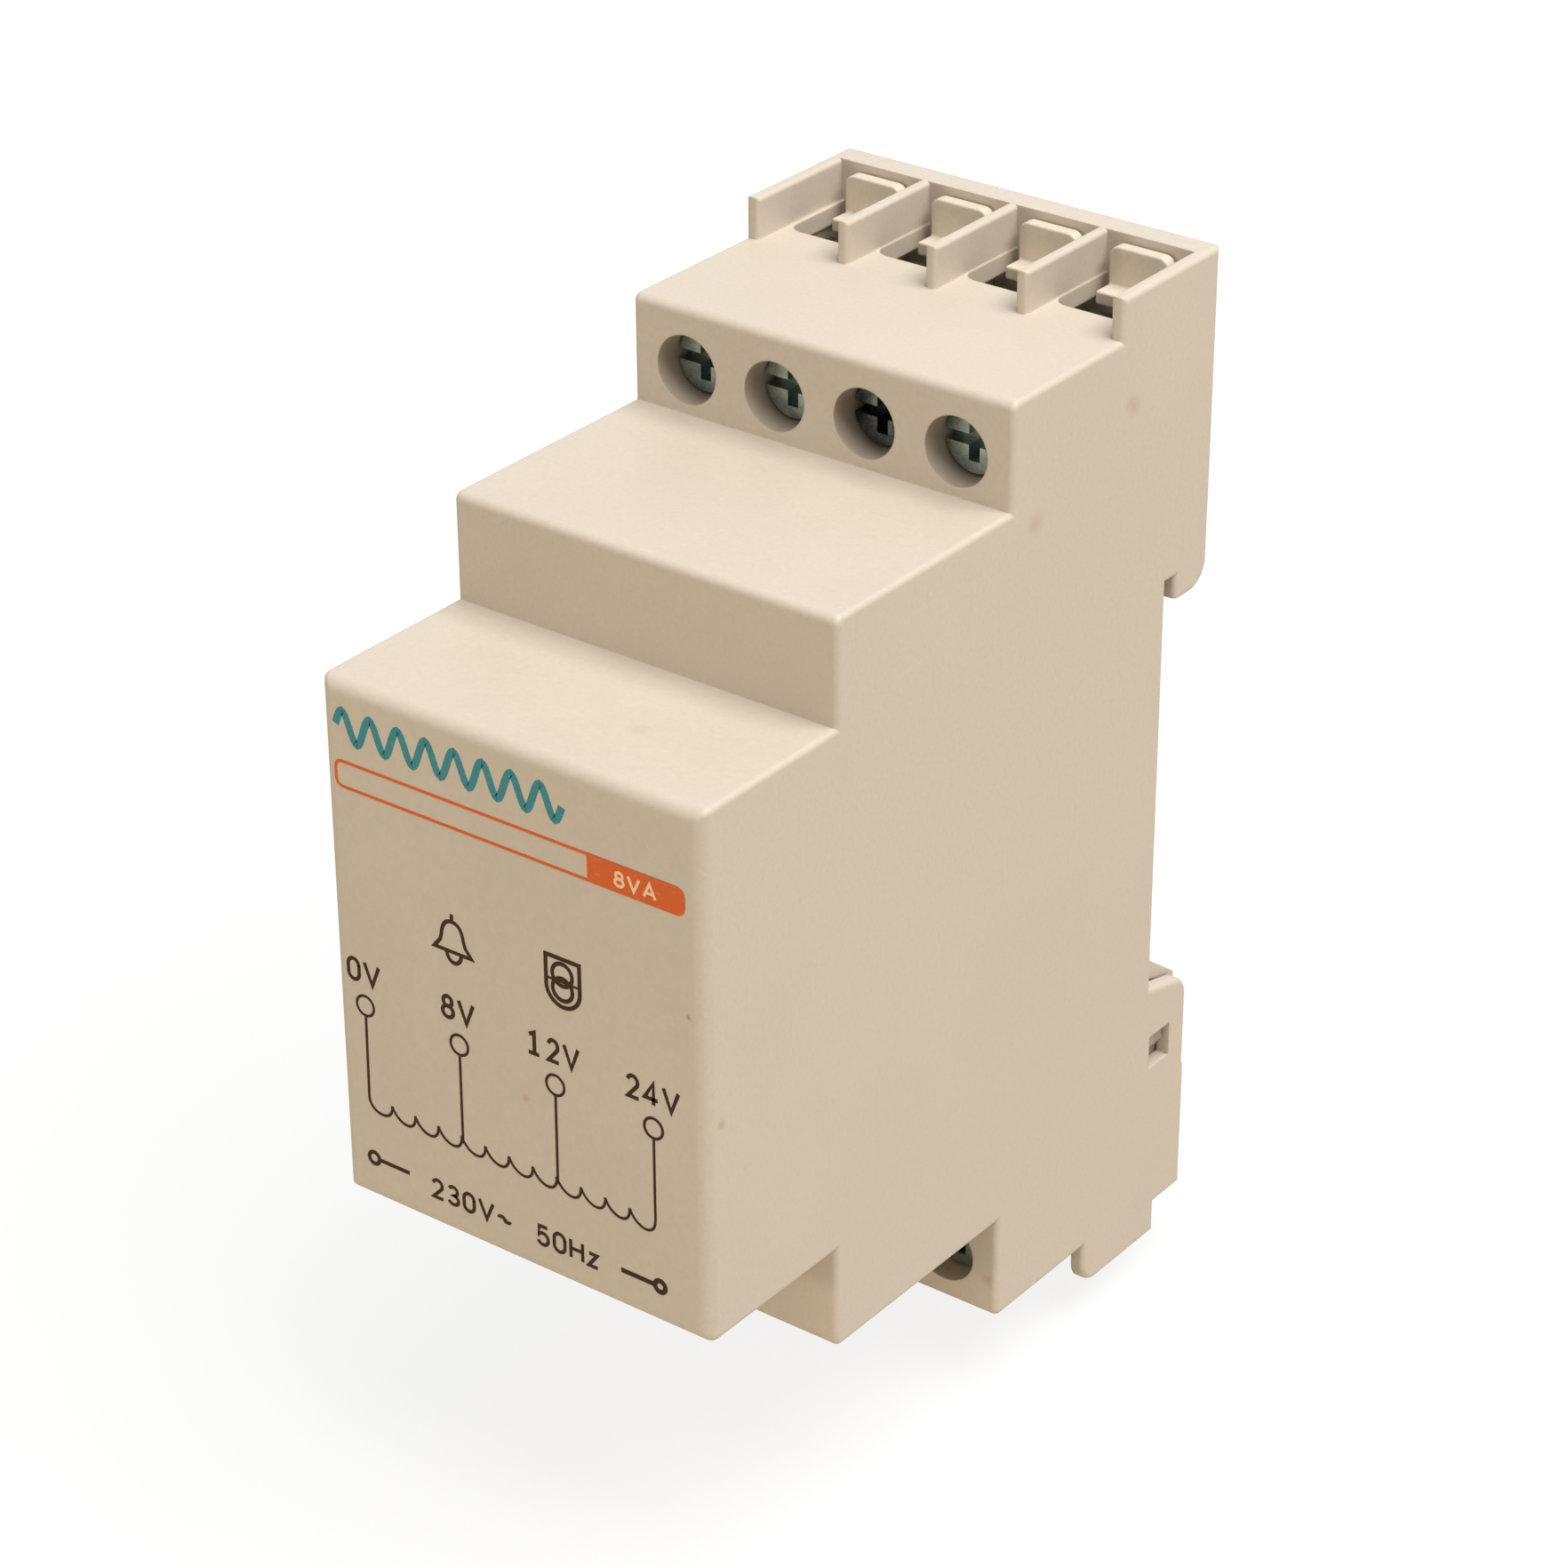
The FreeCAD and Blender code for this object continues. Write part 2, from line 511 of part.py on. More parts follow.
def make_base_plate():
    """Rear moulding between the side walls."""
    body = new_body("base_plate")
    ramp_start = "(hook_gap-0.35)"
    outline = [
        (PLATE_FRONT, "channel_top+plate_tongue"),
        ("-axial_fit", "channel_top+plate_tongue"),
        ("-axial_fit", "channel_top-inner_fit"),
        ("0", "channel_top-inner_fit"),
        ("0", CHANNEL_LOW),
        (ramp_start, CHANNEL_LOW),
        ("foot_reach", CHANNEL_LOW + "-0.73*(foot_reach-%s)" % ramp_start),
        ("foot_reach", "-foot_low+inner_fit"),
        (FOOT_INNER, "-foot_low+inner_fit"),
        (FOOT_INNER, CHANNEL_LOW + "-0.73*(foot_reach-%s)" % ramp_start),
        ("0", CHANNEL_LOW + "-plate_thick"),
        ("0", "shelf_thick+plate_skirt_gap-" + SHELF_LOW),
        (PLATE_FRONT, "shelf_thick+plate_skirt_gap-" + SHELF_LOW),
    ]
    prism(body, "seat_profile", "YZ", "-" + INSERT_HALF, INSERT_HALF, [outline])
    guide = "(%s+clip_fit+guide_wall)" % CLIP_HALF
    prism(body, "clip_guide", "YZ", "-" + guide, guide,
          [box(PLATE_FRONT, FOOT_INNER, "-foot_low+inner_fit", CHANNEL_LOW + "-plate_thick")])
    channel = "(%s+clip_fit)" % CLIP_HALF
    cut(body, "clip_channel", "YZ", "-" + channel, channel,
        [box("0", FOOT_INNER, "-foot_low", CHANNEL_LOW + "+plate_thick")])
    cut(body, "seat_relief", "YZ", "-" + INSERT_HALF, INSERT_HALF,
        [box("-relief_deep", "0", "channel_top-hook_lip-inner_fit", "channel_top"),
         box("-relief_deep", "0", CHANNEL_LOW, CHANNEL_LOW + "+relief_low")])
    stop_top = "(-foot_low+clip_tab+spring_stop)"
    prism(body, "spring_rib", "XZ", "clip_fit+axial_fit", FOOT_INNER,
          [box("clip_fit-spring_window_half", "spring_window_half-clip_fit",
               stop_top + "-spring_stop", stop_top)])
    pillars = [box("%s-rib_wide" % x, "%s+rib_wide" % x, "%s-rib_wide" % z, "%s+rib_wide" % z)
               for x in ("-" + RIB_X, RIB_X) for z in ("-" + LIMB, LIMB)]
    prism(body, "core_pillars", "XZ", CORE_FRONT + "+" + CORE_LONG + "+core_seat", PLATE_FRONT, pillars)
    legs_low = "(-window_low-side_wall)"
    legs = [box(INSERT_HALF + "-side_wall", INSERT_HALF, "window_front+core_seat", FOOT_INNER),
            box("-" + INSERT_HALF, "side_wall-" + INSERT_HALF, "window_front+core_seat", FOOT_INNER)]
    prism(body, "catch_legs", "XY", legs_low, CHANNEL_LOW + "-plate_thick-window_tall/2", legs)
    catch = [(INSERT_HALF, "core_seat-window_low+inner_fit"),
             (INSERT_HALF + "+side_wall/2+inner_fit", "-window_low+window_tall/2"),
             (INSERT_HALF + "+side_wall/2+inner_fit", "window_tall-window_low-inner_fit"),
             (INSERT_HALF, "window_tall-window_low-inner_fit")]
    mirrored = [("-(%s)" % x, z) for x, z in reversed(catch)]
    prism(body, "catches", "XZ", "window_front+inner_fit",
          "window_front+window_long-inner_fit", [catch, mirrored])
    return body


# Terminal carriers with the stepped posts

def make_carrier(label, steps, inner, outer, ledge, screw, fins):
    """Shelf and stepped posts of a row of terminals, modelled upright."""
    body = new_body(label)
    shelf_top = "(%s-shelf_gap)" % screw
    spans = [("-" + outer, outer)]
    if inner is not None:
        spans = [("-" + outer, "-" + inner), (inner, outer)]
    rear = [box(left, right, shelf_top + "-shelf_thick", shelf_top + "+shelf_gap/2")
            for left, right in spans]
    prism(body, "rear_wall", "XZ", POST_FRONT, POST_REAR, rear)
    shelf_rear = POST_FRONT if inner is None else PLATE_FRONT + "-inner_fit"
    prism(body, "shelf", "XY", shelf_top + "-shelf_thick", shelf_top,
          [box("-" + outer, outer, RISER_TWO + "+shell_wall+inner_fit", shelf_rear)])
    if inner is not None:
        prism(body, "shelf_ends", "XY", shelf_top + "-shelf_thick", shelf_top,
              [box(left, right, shelf_rear, POST_FRONT) for left, right in spans])
    posts = [box(*wide(step, POST_WIDE), shelf_top, fins + "-post_below_fins") for step in steps]
    prism(body, "posts", "XZ", POST_FRONT, POST_REAR, posts)
    toes = [box(*wide(step, POST_WIDE), ledge + "-toe_top_gap-toe_tall", ledge + "-toe_top_gap")
            for step in steps]
    prism(body, "toes", "XZ", POST_FRONT + "-toe_reach", POST_FRONT, toes)
    top = size(fins) - size("post_below_fins")
    round_edges(body, "post_corners", "post_round",
                lambda edge: along(edge, Vector(0, 1, 0)) and near(edge.CenterOfMass.z, top))
    slots = [box(*wide(step, "(%s+2*axial_fit)" % BAR_WIDE),
                 "-bar_front-axial_fit", "bar_thick-bar_front+axial_fit") for step in steps]
    cut(body, "bar_slots", "XY", shelf_top + "-shelf_thick", shelf_top, slots)
    return body


def turn_over(body):
    """Turn a lower terminal piece upside down about the Y axis."""
    body.Placement = FreeCAD.Placement(Vector(0, 0, 0), Rotation(Vector(0, 1, 0), 180))


# Terminals: screw, clamp cage and contact bar, modelled on the screw's own axis

def make_screw(label):
    """Terminal screw with a slot and a cross in its head."""
    body = new_body(label)
    turned(body, "blank", [
        ("0", HEAD_FRONT),
        (HEAD_RADIUS, HEAD_FRONT),
        (HEAD_RADIUS, HEAD_REAR),
        ("shank_radius", HEAD_REAR),
        ("shank_radius", "-bar_front-axial_fit"),
        ("0", "-bar_front-axial_fit"),
    ])
    cut(body, "slot", "XZ", HEAD_FRONT, HEAD_FRONT + "+slot_deep",
        [box("-" + HEAD_RADIUS, HEAD_RADIUS, "-slot_wide/2", "slot_wide/2")])
    cut(body, "cross", "XZ", HEAD_FRONT, HEAD_FRONT + "+slot_deep*1.2",
        [box("-cross_wide/2", "cross_wide/2", "-cross_long/2", "cross_long/2")])
    return body


def make_cage(label):
    """Clamp cage that the screw draws forward."""
    body = new_body(label)
    nut_rear = "(-bar_front-cage_gap)"
    front = "(-bar_front-cage_gap-cage_nut)"
    rear = "(-bar_front-cage_gap+cage_open+cage_jaw)"
    prism(body, "block", "XY", "-cage_tall/2", "cage_tall/2",
          [box(*wide(0, CAGE_WIDE), front, rear)])
    cut(body, "mouth", "XY", "-cage_tall/2", "cage_tall/2",
        [box(*wide(0, "(%s-2*cage_wall)" % CAGE_WIDE), nut_rear, nut_rear + "+cage_open")])
    cut(body, "thread_hole", "XZ", front, nut_rear, [("0", "0", "shank_radius+thread_fit")])
    return body


def make_bar(label):
    """Contact bar with its shoulder under the shelf, relative to the screw axis."""
    body = new_body(label)
    prism(body, "bar", "XZ", "-bar_front", "bar_thick-bar_front", [[
        ("-%s/2" % BAR_TAIL, "-shelf_gap-shelf_thick-bar_tail"),
        ("%s/2" % BAR_TAIL, "-shelf_gap-shelf_thick-bar_tail"),
        ("%s/2" % BAR_TAIL, "-shelf_gap-shelf_thick"),
        ("%s/2" % BAR_WIDE, "-shelf_gap-shelf_thick"),
        ("%s/2" % BAR_WIDE, "cage_tall/2"),
        ("-%s/2" % BAR_WIDE, "cage_tall/2"),
        ("-%s/2" % BAR_WIDE, "-shelf_gap-shelf_thick"),
        ("-%s/2" % BAR_TAIL, "-shelf_gap-shelf_thick"),
    ]])
    return body


def set_terminal(body, step, upper):
    """Put a terminal piece on its screw axis."""
    if upper:
        body.setExpression("Placement.Base.x", formula(across(step)))
        body.setExpression("Placement.Base.z", formula("screw_top"))
    else:
        turn_over(body)
        body.setExpression("Placement.Base.x", formula(across(step)))
        body.setExpression("Placement.Base.z", formula("-screw_low"))


# Sliding rail clip and its spring

SPRING_FOOT = "(-foot_low+clip_tab+spring_stop)"
SPRING_HEAD = "(-foot_low+clip_tab+spring_stop+spring_room)"


def make_clip():
    """Clip that slides down to let the rail go."""
    body = new_body("rail_clip")
    rear = "(%s-clip_fit)" % FOOT_INNER
    crest = "(hook_gap+clip_nose_thick)"
    prism(body, "slide", "YZ", "-" + CLIP_HALF, CLIP_HALF, [[
        ("clip_fit", "-foot_low"),
        ("clip_fit", CHANNEL_LOW),
        ("hook_gap", CHANNEL_LOW),
        ("hook_gap", CHANNEL_LOW + "+clip_nose"),
        (crest, CHANNEL_LOW + "+clip_nose"),
        (rear, CHANNEL_LOW + "+clip_nose-1.2*(%s-%s)" % (rear, crest)),
        (rear, "-foot_low"),
    ]])
    prism(body, "tab", "YZ", "-clip_tab_half", "clip_tab_half",
          [box("clip_fit", rear, "-foot_low-clip_tab", "-foot_low")])
    slot_low = "(-foot_low-clip_tab+clip_slot/2)"
    cut(body, "driver_slot", "XZ", "clip_fit", rear,
        [box("-clip_slot_half", "clip_slot_half", slot_low, slot_low + "+clip_slot")])
    cut(body, "spring_window", "XZ", "clip_fit", rear,
        [box("-spring_window_half", "spring_window_half",
             SPRING_FOOT + "-spring_stop-axial_fit", SPRING_HEAD)])
    return body


def make_spring():
    """Compression spring between the foot's rib and the clip."""
    body = new_body("clip_spring")
    sketch = new_sketch(body, "wire_section", "XZ")
    draw_loop(sketch, box("spring_radius-spring_wire/2", "spring_radius+spring_wire/2",
                          "0", "spring_wire"))
    feature = body.newObject("PartDesign::AdditiveHelix", "coil")
    feature.Profile = (sketch, [""])
    feature.ReferenceAxis = (origin_feature(body, "Z_Axis"), [""])
    feature.Mode = "height-turns-growth"
    feature.setExpression("Height", formula("spring_room-spring_wire"))
    feature.setExpression("Turns", formula("spring_turns"))
    doc.recompute()
    body.setExpression("Placement.Base.y", formula("(%s)/2" % FOOT_INNER))
    body.setExpression("Placement.Base.z", formula(SPRING_FOOT))
    return body


# Transformer: laminated core, bobbin, windings, tape and cut-out

def make_core_e():
    """E-shaped stack with its limbs pointing up."""
    body = new_body("core_e_stack")
    limb = "%s/2" % LIMB
    base = "-" + CORE_HALF
    arms = WINDOW_HALF
    rear = "(%s+1.5*%s)" % (CORE_MIDDLE, LIMB)
    middle = CORE_MIDDLE
    prism(body, "stack", "YZ", "-" + STACK_HALF, STACK_HALF, [[
        (CORE_FRONT, base),
        (rear, base),
        (rear, arms),
        (rear + "-" + limb, arms),
        (rear + "-" + limb, "-" + arms),
        (middle + "+" + limb, "-" + arms),
        (middle + "+" + limb, arms),
        (middle + "-" + limb, arms),
        (middle + "-" + limb, "-" + arms),
        (CORE_FRONT + "+" + limb, "-" + arms),
        (CORE_FRONT + "+" + limb, arms),
        (CORE_FRONT, arms),
    ]])
    return body


def make_core_i():
    """I-shaped stack across the limbs."""
    body = new_body("core_i_stack")
    prism(body, "stack", "YZ", "-" + STACK_HALF, STACK_HALF,
          [box(CORE_FRONT, CORE_FRONT + "+" + CORE_LONG, WINDOW_HALF, CORE_HALF)])
    return body


LIMB_X = "(%s+bobbin_fit)" % STACK_HALF
LIMB_Y = "(%s/2+bobbin_fit)" % LIMB
TUBE_X = "(%s+bobbin_wall)" % LIMB_X
TUBE_Y = "(%s+bobbin_wall)" % LIMB_Y
FLANGE_X = "(%s-flange_side_gap)" % INNER_HALF
FLANGE_Y = "(%s-flange_gap)" % LIMB
WOUND_X = "(%s+%s)" % (TUBE_X, WINDING)
WOUND_Y = "(%s+%s)" % (TUBE_Y, WINDING)


def ring(half_x, half_y):
    """Rectangle about the middle limb."""
    return box("-" + half_x, half_x, CORE_MIDDLE + "-" + half_y, CORE_MIDDLE + "+" + half_y)


def make_bobbin():
    """Bobbin with two chambers."""
    body = new_body("bobbin")
    top = "(%s-bobbin_fit)" % WINDOW_HALF
    prism(body, "tube", "XY", "-" + top, top, [ring(TUBE_X, TUBE_Y)])
    for name, low, high in (("lower_flange", "-" + top, "bobbin_wall-" + top),
                            ("middle_flange", "-bobbin_wall/2", "bobbin_wall/2"),
                            ("upper_flange", top + "-bobbin_wall", top)):
        prism(body, name, "XY", low, high, [ring(FLANGE_X, FLANGE_Y)])
    cut(body, "limb_hole", "XY", "-" + top, top, [ring(LIMB_X, LIMB_Y)])
    return body


def upright_at(half_x):
    """Test for the upright edges at a distance to either side."""
    return lambda edge: along(edge, Vector(0, 0, 1)) and near(abs(edge.CenterOfMass.x), half_x)


def make_winding(label, low, high):
    """Winding in its chamber."""
    body = new_body(label)
    prism(body, "copper", "XY", low, high, [ring(WOUND_X, WOUND_Y)])
    round_edges(body, "corners", "winding_round", lambda edge: along(edge, Vector(0, 0, 1)))
    cut(body, "tube_hole", "XY", low, high, [ring(TUBE_X, TUBE_Y)])
    return body


def make_tape(label, low, high):
    """Tape round a winding."""
    body = new_body(label)
    inner = worth(WOUND_X)
    prism(body, "wrap", "XY", low, high,
          [ring("(%s+tape_thick)" % WOUND_X, "(%s+tape_thick)" % WOUND_Y)])
    cut(body, "room", "XY", low, high, [ring(WOUND_X, WOUND_Y)])
    outer = inner + size("tape_thick")
    round_edges(body, "outer_corners", "winding_round+tape_thick", upright_at(outer))
    round_edges(body, "inner_corners", "winding_round", upright_at(inner))
    return body


FUSE_Z = "(-(%s-bobbin_fit)-core_seat-fuse_radius)" % WINDOW_HALF


def make_fuse():
    """Thermal cut-out under the lower flange."""
    body = new_body("thermal_cutout")
    prism(body, "can", "XZ", "-fuse_long/2", "fuse_long/2", [("0", "0", "fuse_radius")])
    body.setExpression("Placement.Base.x", formula(across(1.5)))
    body.setExpression("Placement.Base.y", formula(CORE_MIDDLE))
    body.setExpression("Placement.Base.z", formula(FUSE_Z))
    return body


# Insulated leads between the bobbin and the contact bars

def tangent_path(points, bend):
    """Straight runs joined by tangent arcs."""
    edges = []
    start = points[0]
    for before, corner, after in zip(points, points[1:], points[2:]):
        back = (before - corner).normalize()
        onward = (after - corner).normalize()
        half_angle = back.getAngle(onward) / 2
        reach = bend / math.tan(half_angle)
        middle = corner + (back + onward).normalize() * (bend / math.sin(half_angle) - bend)
        edges.append(Part.LineSegment(start, corner + back * reach).toShape())
        edges.append(Part.Arc(corner + back * reach, middle, corner + onward * reach).toShape())
        start = corner + onward * reach
    edges.append(Part.LineSegment(start, points[-1]).toShape())
    return Part.Wire(edges)


def make_lead(label, points, bend):
    """Six-sided lead along a path."""
    path = tangent_path(points, bend)
    heading = (points[1] - points[0]).normalize()
    aside = heading.cross(Vector(1, 0, 0)) * size("lead_radius")
    turns = [Rotation(heading, 60 * i) for i in range(7)]
    section = Part.makePolygon([points[0] + turn.multVec(aside) for turn in turns])
    feature = doc.addObject("Part::Feature", label)
    feature.Label = label
    feature.Shape = path.makePipeShell([section], True, False)
    return feature


def make_leads():
    """All leads."""
    pitch = worth(PITCH)
    middle_y = worth(CORE_MIDDLE)
    flange_z = worth(WINDOW_HALF) - size("bobbin_fit")
    bar_y = -size("bar_front")
    upper_z = size("screw_top") - size("shelf_gap") - size("shelf_thick") - size("bar_tail") / 2
    lower_z = -(size("screw_low") - size("shelf_gap") - size("shelf_thick") - size("bar_tail") / 2)
    rise_y = middle_y + worth(LIMB) / 2
    beside = worth(STACK_HALF) + 1.5 * size("bobbin_wall")
    bend = 3 * size("lead_radius")
    leads = []
    for number, step in enumerate(TERMINALS_TOP, start=1):
        x = step * pitch
        side = math.copysign(max(abs(x), beside), x)
        start_y = rise_y if abs(x) > beside else rise_y + 4 * size("lead_radius")
        points = [
            Vector(side, start_y, flange_z),
            Vector(side, start_y, upper_z),
            Vector(x, bar_y, upper_z),
        ]
        if side != x:
            points.insert(2, Vector(x, bar_y - pitch / 2, upper_z))
        leads.append(make_lead("secondary_lead_%d" % number, points, bend))
    left = -1.5 * pitch
    leads.append(make_lead("primary_lead_1", [
        Vector(left, rise_y, -flange_z), Vector(left, rise_y, lower_z),
        Vector(left, bar_y, lower_z)], bend))
    fuse_z = -flange_z - size("core_seat") - size("fuse_radius")
    fuse_rear = middle_y + size("fuse_long") / 2
    fuse_front = middle_y - size("fuse_long") / 2
    right = -left
    leads.append(make_lead("primary_lead_2", [
        Vector(right, fuse_rear, fuse_z), Vector(right, rise_y, fuse_z),
        Vector(right, rise_y + pitch / 2, lower_z), Vector(right, bar_y, lower_z)], bend))
    leads.append(make_lead("cutout_lead", [
        Vector(right, fuse_front, fuse_z), Vector(right, fuse_front - bend, fuse_z),
        Vector(right, fuse_front - bend, -flange_z)], size("lead_radius") * 1.5))
    return leads


# Printed bar on the front face, as raised ink

def make_print_bar():
    """Outlined bar with a filled end."""
    body = new_body("print_bar")
    ink = "(-face_depth-ink_thick)"
    low = "(bar_print_top-bar_print_tall)"
    left_end = "(bar_print_left-width/2)"
    right_end = "(width/2-bar_print_right)"
    prism(body, "bar", "XZ", ink, FRONT, [box(left_end, right_end, low, "bar_print_top")])
    cut(body, "open_part", "XZ", ink, FRONT,
        [box(left_end + "+bar_print_line", right_end + "-bar_print_fill", low + "+bar_print_line",
             "bar_print_top-bar_print_line")])
    left = worth(left_end)
    right = worth(right_end)
    line = size("bar_print_line")

    def outer(edge):
        x = edge.CenterOfMass.x
        return along(edge, Vector(0, 1, 0)) and (near(x, left) or near(x, right))

    round_edges(body, "outer_corners", "bar_print_round", outer)
    round_edges(body, "inner_corners", "bar_print_round-bar_print_line",
                lambda edge: along(edge, Vector(0, 1, 0)) and near(edge.CenterOfMass.x, left + line))
    return body


# The assembly

parts = [
    make_housing(),
    make_base_plate(),
    make_carrier("upper_terminal_carrier", TERMINALS_TOP, None, INSERT_HALF,
                 "ledge_three_top", "screw_top", "fin_top"),
]
lower_carrier = make_carrier("lower_terminal_carrier", TERMINALS_LOW,
                             "(%s+clip_fit+guide_wall+inner_fit)" % CLIP_HALF,
                             "(%s-side_wall-inner_fit)" % INSERT_HALF,
                             "ledge_three_low", "screw_low", "fin_low")
turn_over(lower_carrier)
parts.append(lower_carrier)
for row, steps, upper in (("upper", TERMINALS_TOP, True), ("lower", TERMINALS_LOW, False)):
    for number, step in enumerate(steps, start=1):
        for piece, make in (("screw", make_screw), ("cage", make_cage)):
            body = make("%s_%s_%d" % (row, piece, number))
            set_terminal(body, step, upper)
            parts.append(body)
        body = make_bar("%s_contact_bar_%d" % (row, number))
        set_terminal(body, step, upper)
        parts.append(body)
parts.append(make_clip())
parts.append(make_spring())
parts.append(make_core_e())
parts.append(make_core_i())
parts.append(make_bobbin())
CHAMBER = "(%s-bobbin_fit-bobbin_wall)" % WINDOW_HALF
for label, make in (("primary_winding", make_winding), ("primary_tape", make_tape)):
    parts.append(make(label, "-" + CHAMBER, "-bobbin_wall/2"))
for label, make in (("secondary_winding", make_winding), ("secondary_tape", make_tape)):
    parts.append(make(label, "bobbin_wall/2", CHAMBER))
parts.append(make_fuse())
parts += make_leads()
parts.append(make_print_bar())
doc.recompute()

for item in doc.Objects:
    if "Invalid" in item.State or "Error" in item.State:
        raise RuntimeError("%s failed: %s" % (item.Name, item.State))
for part in parts:
    if part.Shape.isNull() or not part.Shape.isValid() or not part.Shape.Solids:
        raise RuntimeError(part.Label + " has no sound solid")

os.makedirs("parts", exist_ok=True)
for part in parts:
    part.Shape.exportStep("parts/%s.step" % part.Label)
    bounds = part.Shape.BoundBox
    print("%-24s solids %d volume %9.1f  x %.2f..%.2f y %.2f..%.2f z %.2f..%.2f" % (
        part.Label, len(part.Shape.Solids), part.Shape.Volume, bounds.XMin, bounds.XMax,
        bounds.YMin, bounds.YMax, bounds.ZMin, bounds.ZMax))
print(len(parts), "pieces")
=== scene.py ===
# %% [markdown]
# # A bell transformer for a mounting rail
#
# This object is a small transformer that clips onto a 35 mm rail in a fuse box and
# feeds a doorbell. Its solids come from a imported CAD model, and this lesson dresses
# them: it gives every piece the finish of its real material, prints the front, and
# sets up the studio. Everything is in metres, and -Y is the front that people see.

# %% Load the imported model
import math

import bmesh
import bpy
from mathutils import Matrix, Vector
from mathutils.geometry import interpolate_bezier


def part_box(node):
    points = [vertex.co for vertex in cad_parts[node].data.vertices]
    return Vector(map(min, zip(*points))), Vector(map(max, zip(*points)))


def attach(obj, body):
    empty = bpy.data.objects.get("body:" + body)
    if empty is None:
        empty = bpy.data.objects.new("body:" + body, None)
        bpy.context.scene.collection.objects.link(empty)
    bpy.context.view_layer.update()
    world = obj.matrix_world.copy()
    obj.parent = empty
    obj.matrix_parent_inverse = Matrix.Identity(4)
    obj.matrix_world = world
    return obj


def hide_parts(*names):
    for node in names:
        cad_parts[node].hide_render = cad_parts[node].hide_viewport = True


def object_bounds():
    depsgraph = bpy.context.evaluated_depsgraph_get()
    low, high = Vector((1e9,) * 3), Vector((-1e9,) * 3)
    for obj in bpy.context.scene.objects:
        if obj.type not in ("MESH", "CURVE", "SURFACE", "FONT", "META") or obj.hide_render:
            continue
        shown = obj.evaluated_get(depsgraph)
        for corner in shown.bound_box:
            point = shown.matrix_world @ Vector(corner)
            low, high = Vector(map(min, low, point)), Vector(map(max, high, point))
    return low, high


MM = 0.001
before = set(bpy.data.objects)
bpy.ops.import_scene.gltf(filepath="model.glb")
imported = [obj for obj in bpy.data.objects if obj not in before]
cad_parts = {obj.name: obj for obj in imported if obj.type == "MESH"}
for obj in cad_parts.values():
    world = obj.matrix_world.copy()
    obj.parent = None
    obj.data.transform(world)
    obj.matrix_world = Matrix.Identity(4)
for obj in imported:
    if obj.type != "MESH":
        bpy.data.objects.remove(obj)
cad_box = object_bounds()
print("pieces from the CAD model:", len(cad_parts))

# %% [markdown]
# ## The camera first
#
# The camera stands to the right of the object, a little above it, with a long lens,
# so the upright edges stay almost parallel. Its place and its three directions are
# written out, because a product photographer also fixes the tripod before anything
# else.

# %% Camera
PICTURE_SIDE = 1764
CAMERA_PLACE = Vector((0.192785, -0.279184, 0.177280))
CAMERA_RIGHT = Vector((0.79651, 0.60461, -0.00429))
CAMERA_UP = Vector((-0.28531, 0.38210, 0.87898))
camera_back = CAMERA_RIGHT.cross(CAMERA_UP)
lens = bpy.data.cameras.new("studio_camera")
lens.lens = 105.75
lens.sensor_fit = "HORIZONTAL"
lens.sensor_width = 36.0
lens.clip_start = 0.01
camera = bpy.data.objects.new("studio_camera", lens)
turn = Matrix((CAMERA_RIGHT, CAMERA_UP, camera_back)).transposed().to_4x4()
camera.matrix_world = Matrix.Translation(CAMERA_PLACE) @ turn
bpy.context.scene.collection.objects.link(camera)
bpy.context.scene.camera = camera
print("the picture is", PICTURE_SIDE, "pixels a side; distance to the origin, m:",
      round(CAMERA_PLACE.length, 3))

# %% [markdown]
# ## Small helpers for materials
#
# A colour is easiest to pick as a hex code on a screen, but Blender's sockets want
# linear light, so one function turns the code around. Another adds one node with its
# settings and its links, and three more build the nodes that every recipe needs: a
# noise with features of a stated size, a range that is stretched onto another, and a
# mix of two colours. That keeps each material below as short as a recipe.

# %% Material helpers
def linear(code):
    """An sRGB hex colour as the linear colour that a socket takes."""
    light = []
    for i in (1, 3, 5):
        part = int(code[i:i + 2], 16) / 255
        light.append(part / 12.92 if part <= 0.04045 else ((part + 0.055) / 1.055) ** 2.4)
    return light + [1.0]


def add(tree, kind, settings=None, inputs=None):
    """Adds a shader node, with its settings, and fills its inputs with values or links."""
    made = tree.nodes.new("ShaderNode" + kind)
    for name, value in (settings or {}).items():
        setattr(made, name, value)
    for socket, value in (inputs or {}).items():
        if isinstance(value, bpy.types.NodeSocket):
            tree.links.new(value, made.inputs[socket])
        else:
            made.inputs[socket].default_value = value
    return made


def start(name):
    """An empty node tree for a new material, and the place on the piece in metres."""
    material = bpy.data.materials.new(name)
    material.use_nodes = True
    tree = material.node_tree
    tree.nodes.clear()
    here = add(tree, "TexCoord").outputs["Object"]
    return material, tree, here


def close(tree, inputs):
    """Ends a tree with the main shader."""
    shader = add(tree, "BsdfPrincipled", inputs=inputs)
    add(tree, "OutputMaterial", inputs={"Surface": shader.outputs[0]})


def size(mm):
    """The scale of a texture whose features are that many millimetres apart."""
    return 1.0 / (mm * MM)


def noise(tree, place, mm, detail=2.0, roughness=0.5):
    """A noise whose features are that many millimetres apart."""
    return add(tree, "TexNoise", inputs={"Vector": place, "Scale": size(mm), "Detail": detail,
                                         "Roughness": roughness}).outputs[0]


def remap(tree, value, low, high, first=0.0, last=1.0, kind="LINEAR"):
    """Stretches the range from low to high onto the one from first to last."""
    return add(tree, "MapRange", {"interpolation_type": kind},
               {0: value, 1: low, 2: high, 3: first, 4: last}).outputs[0]


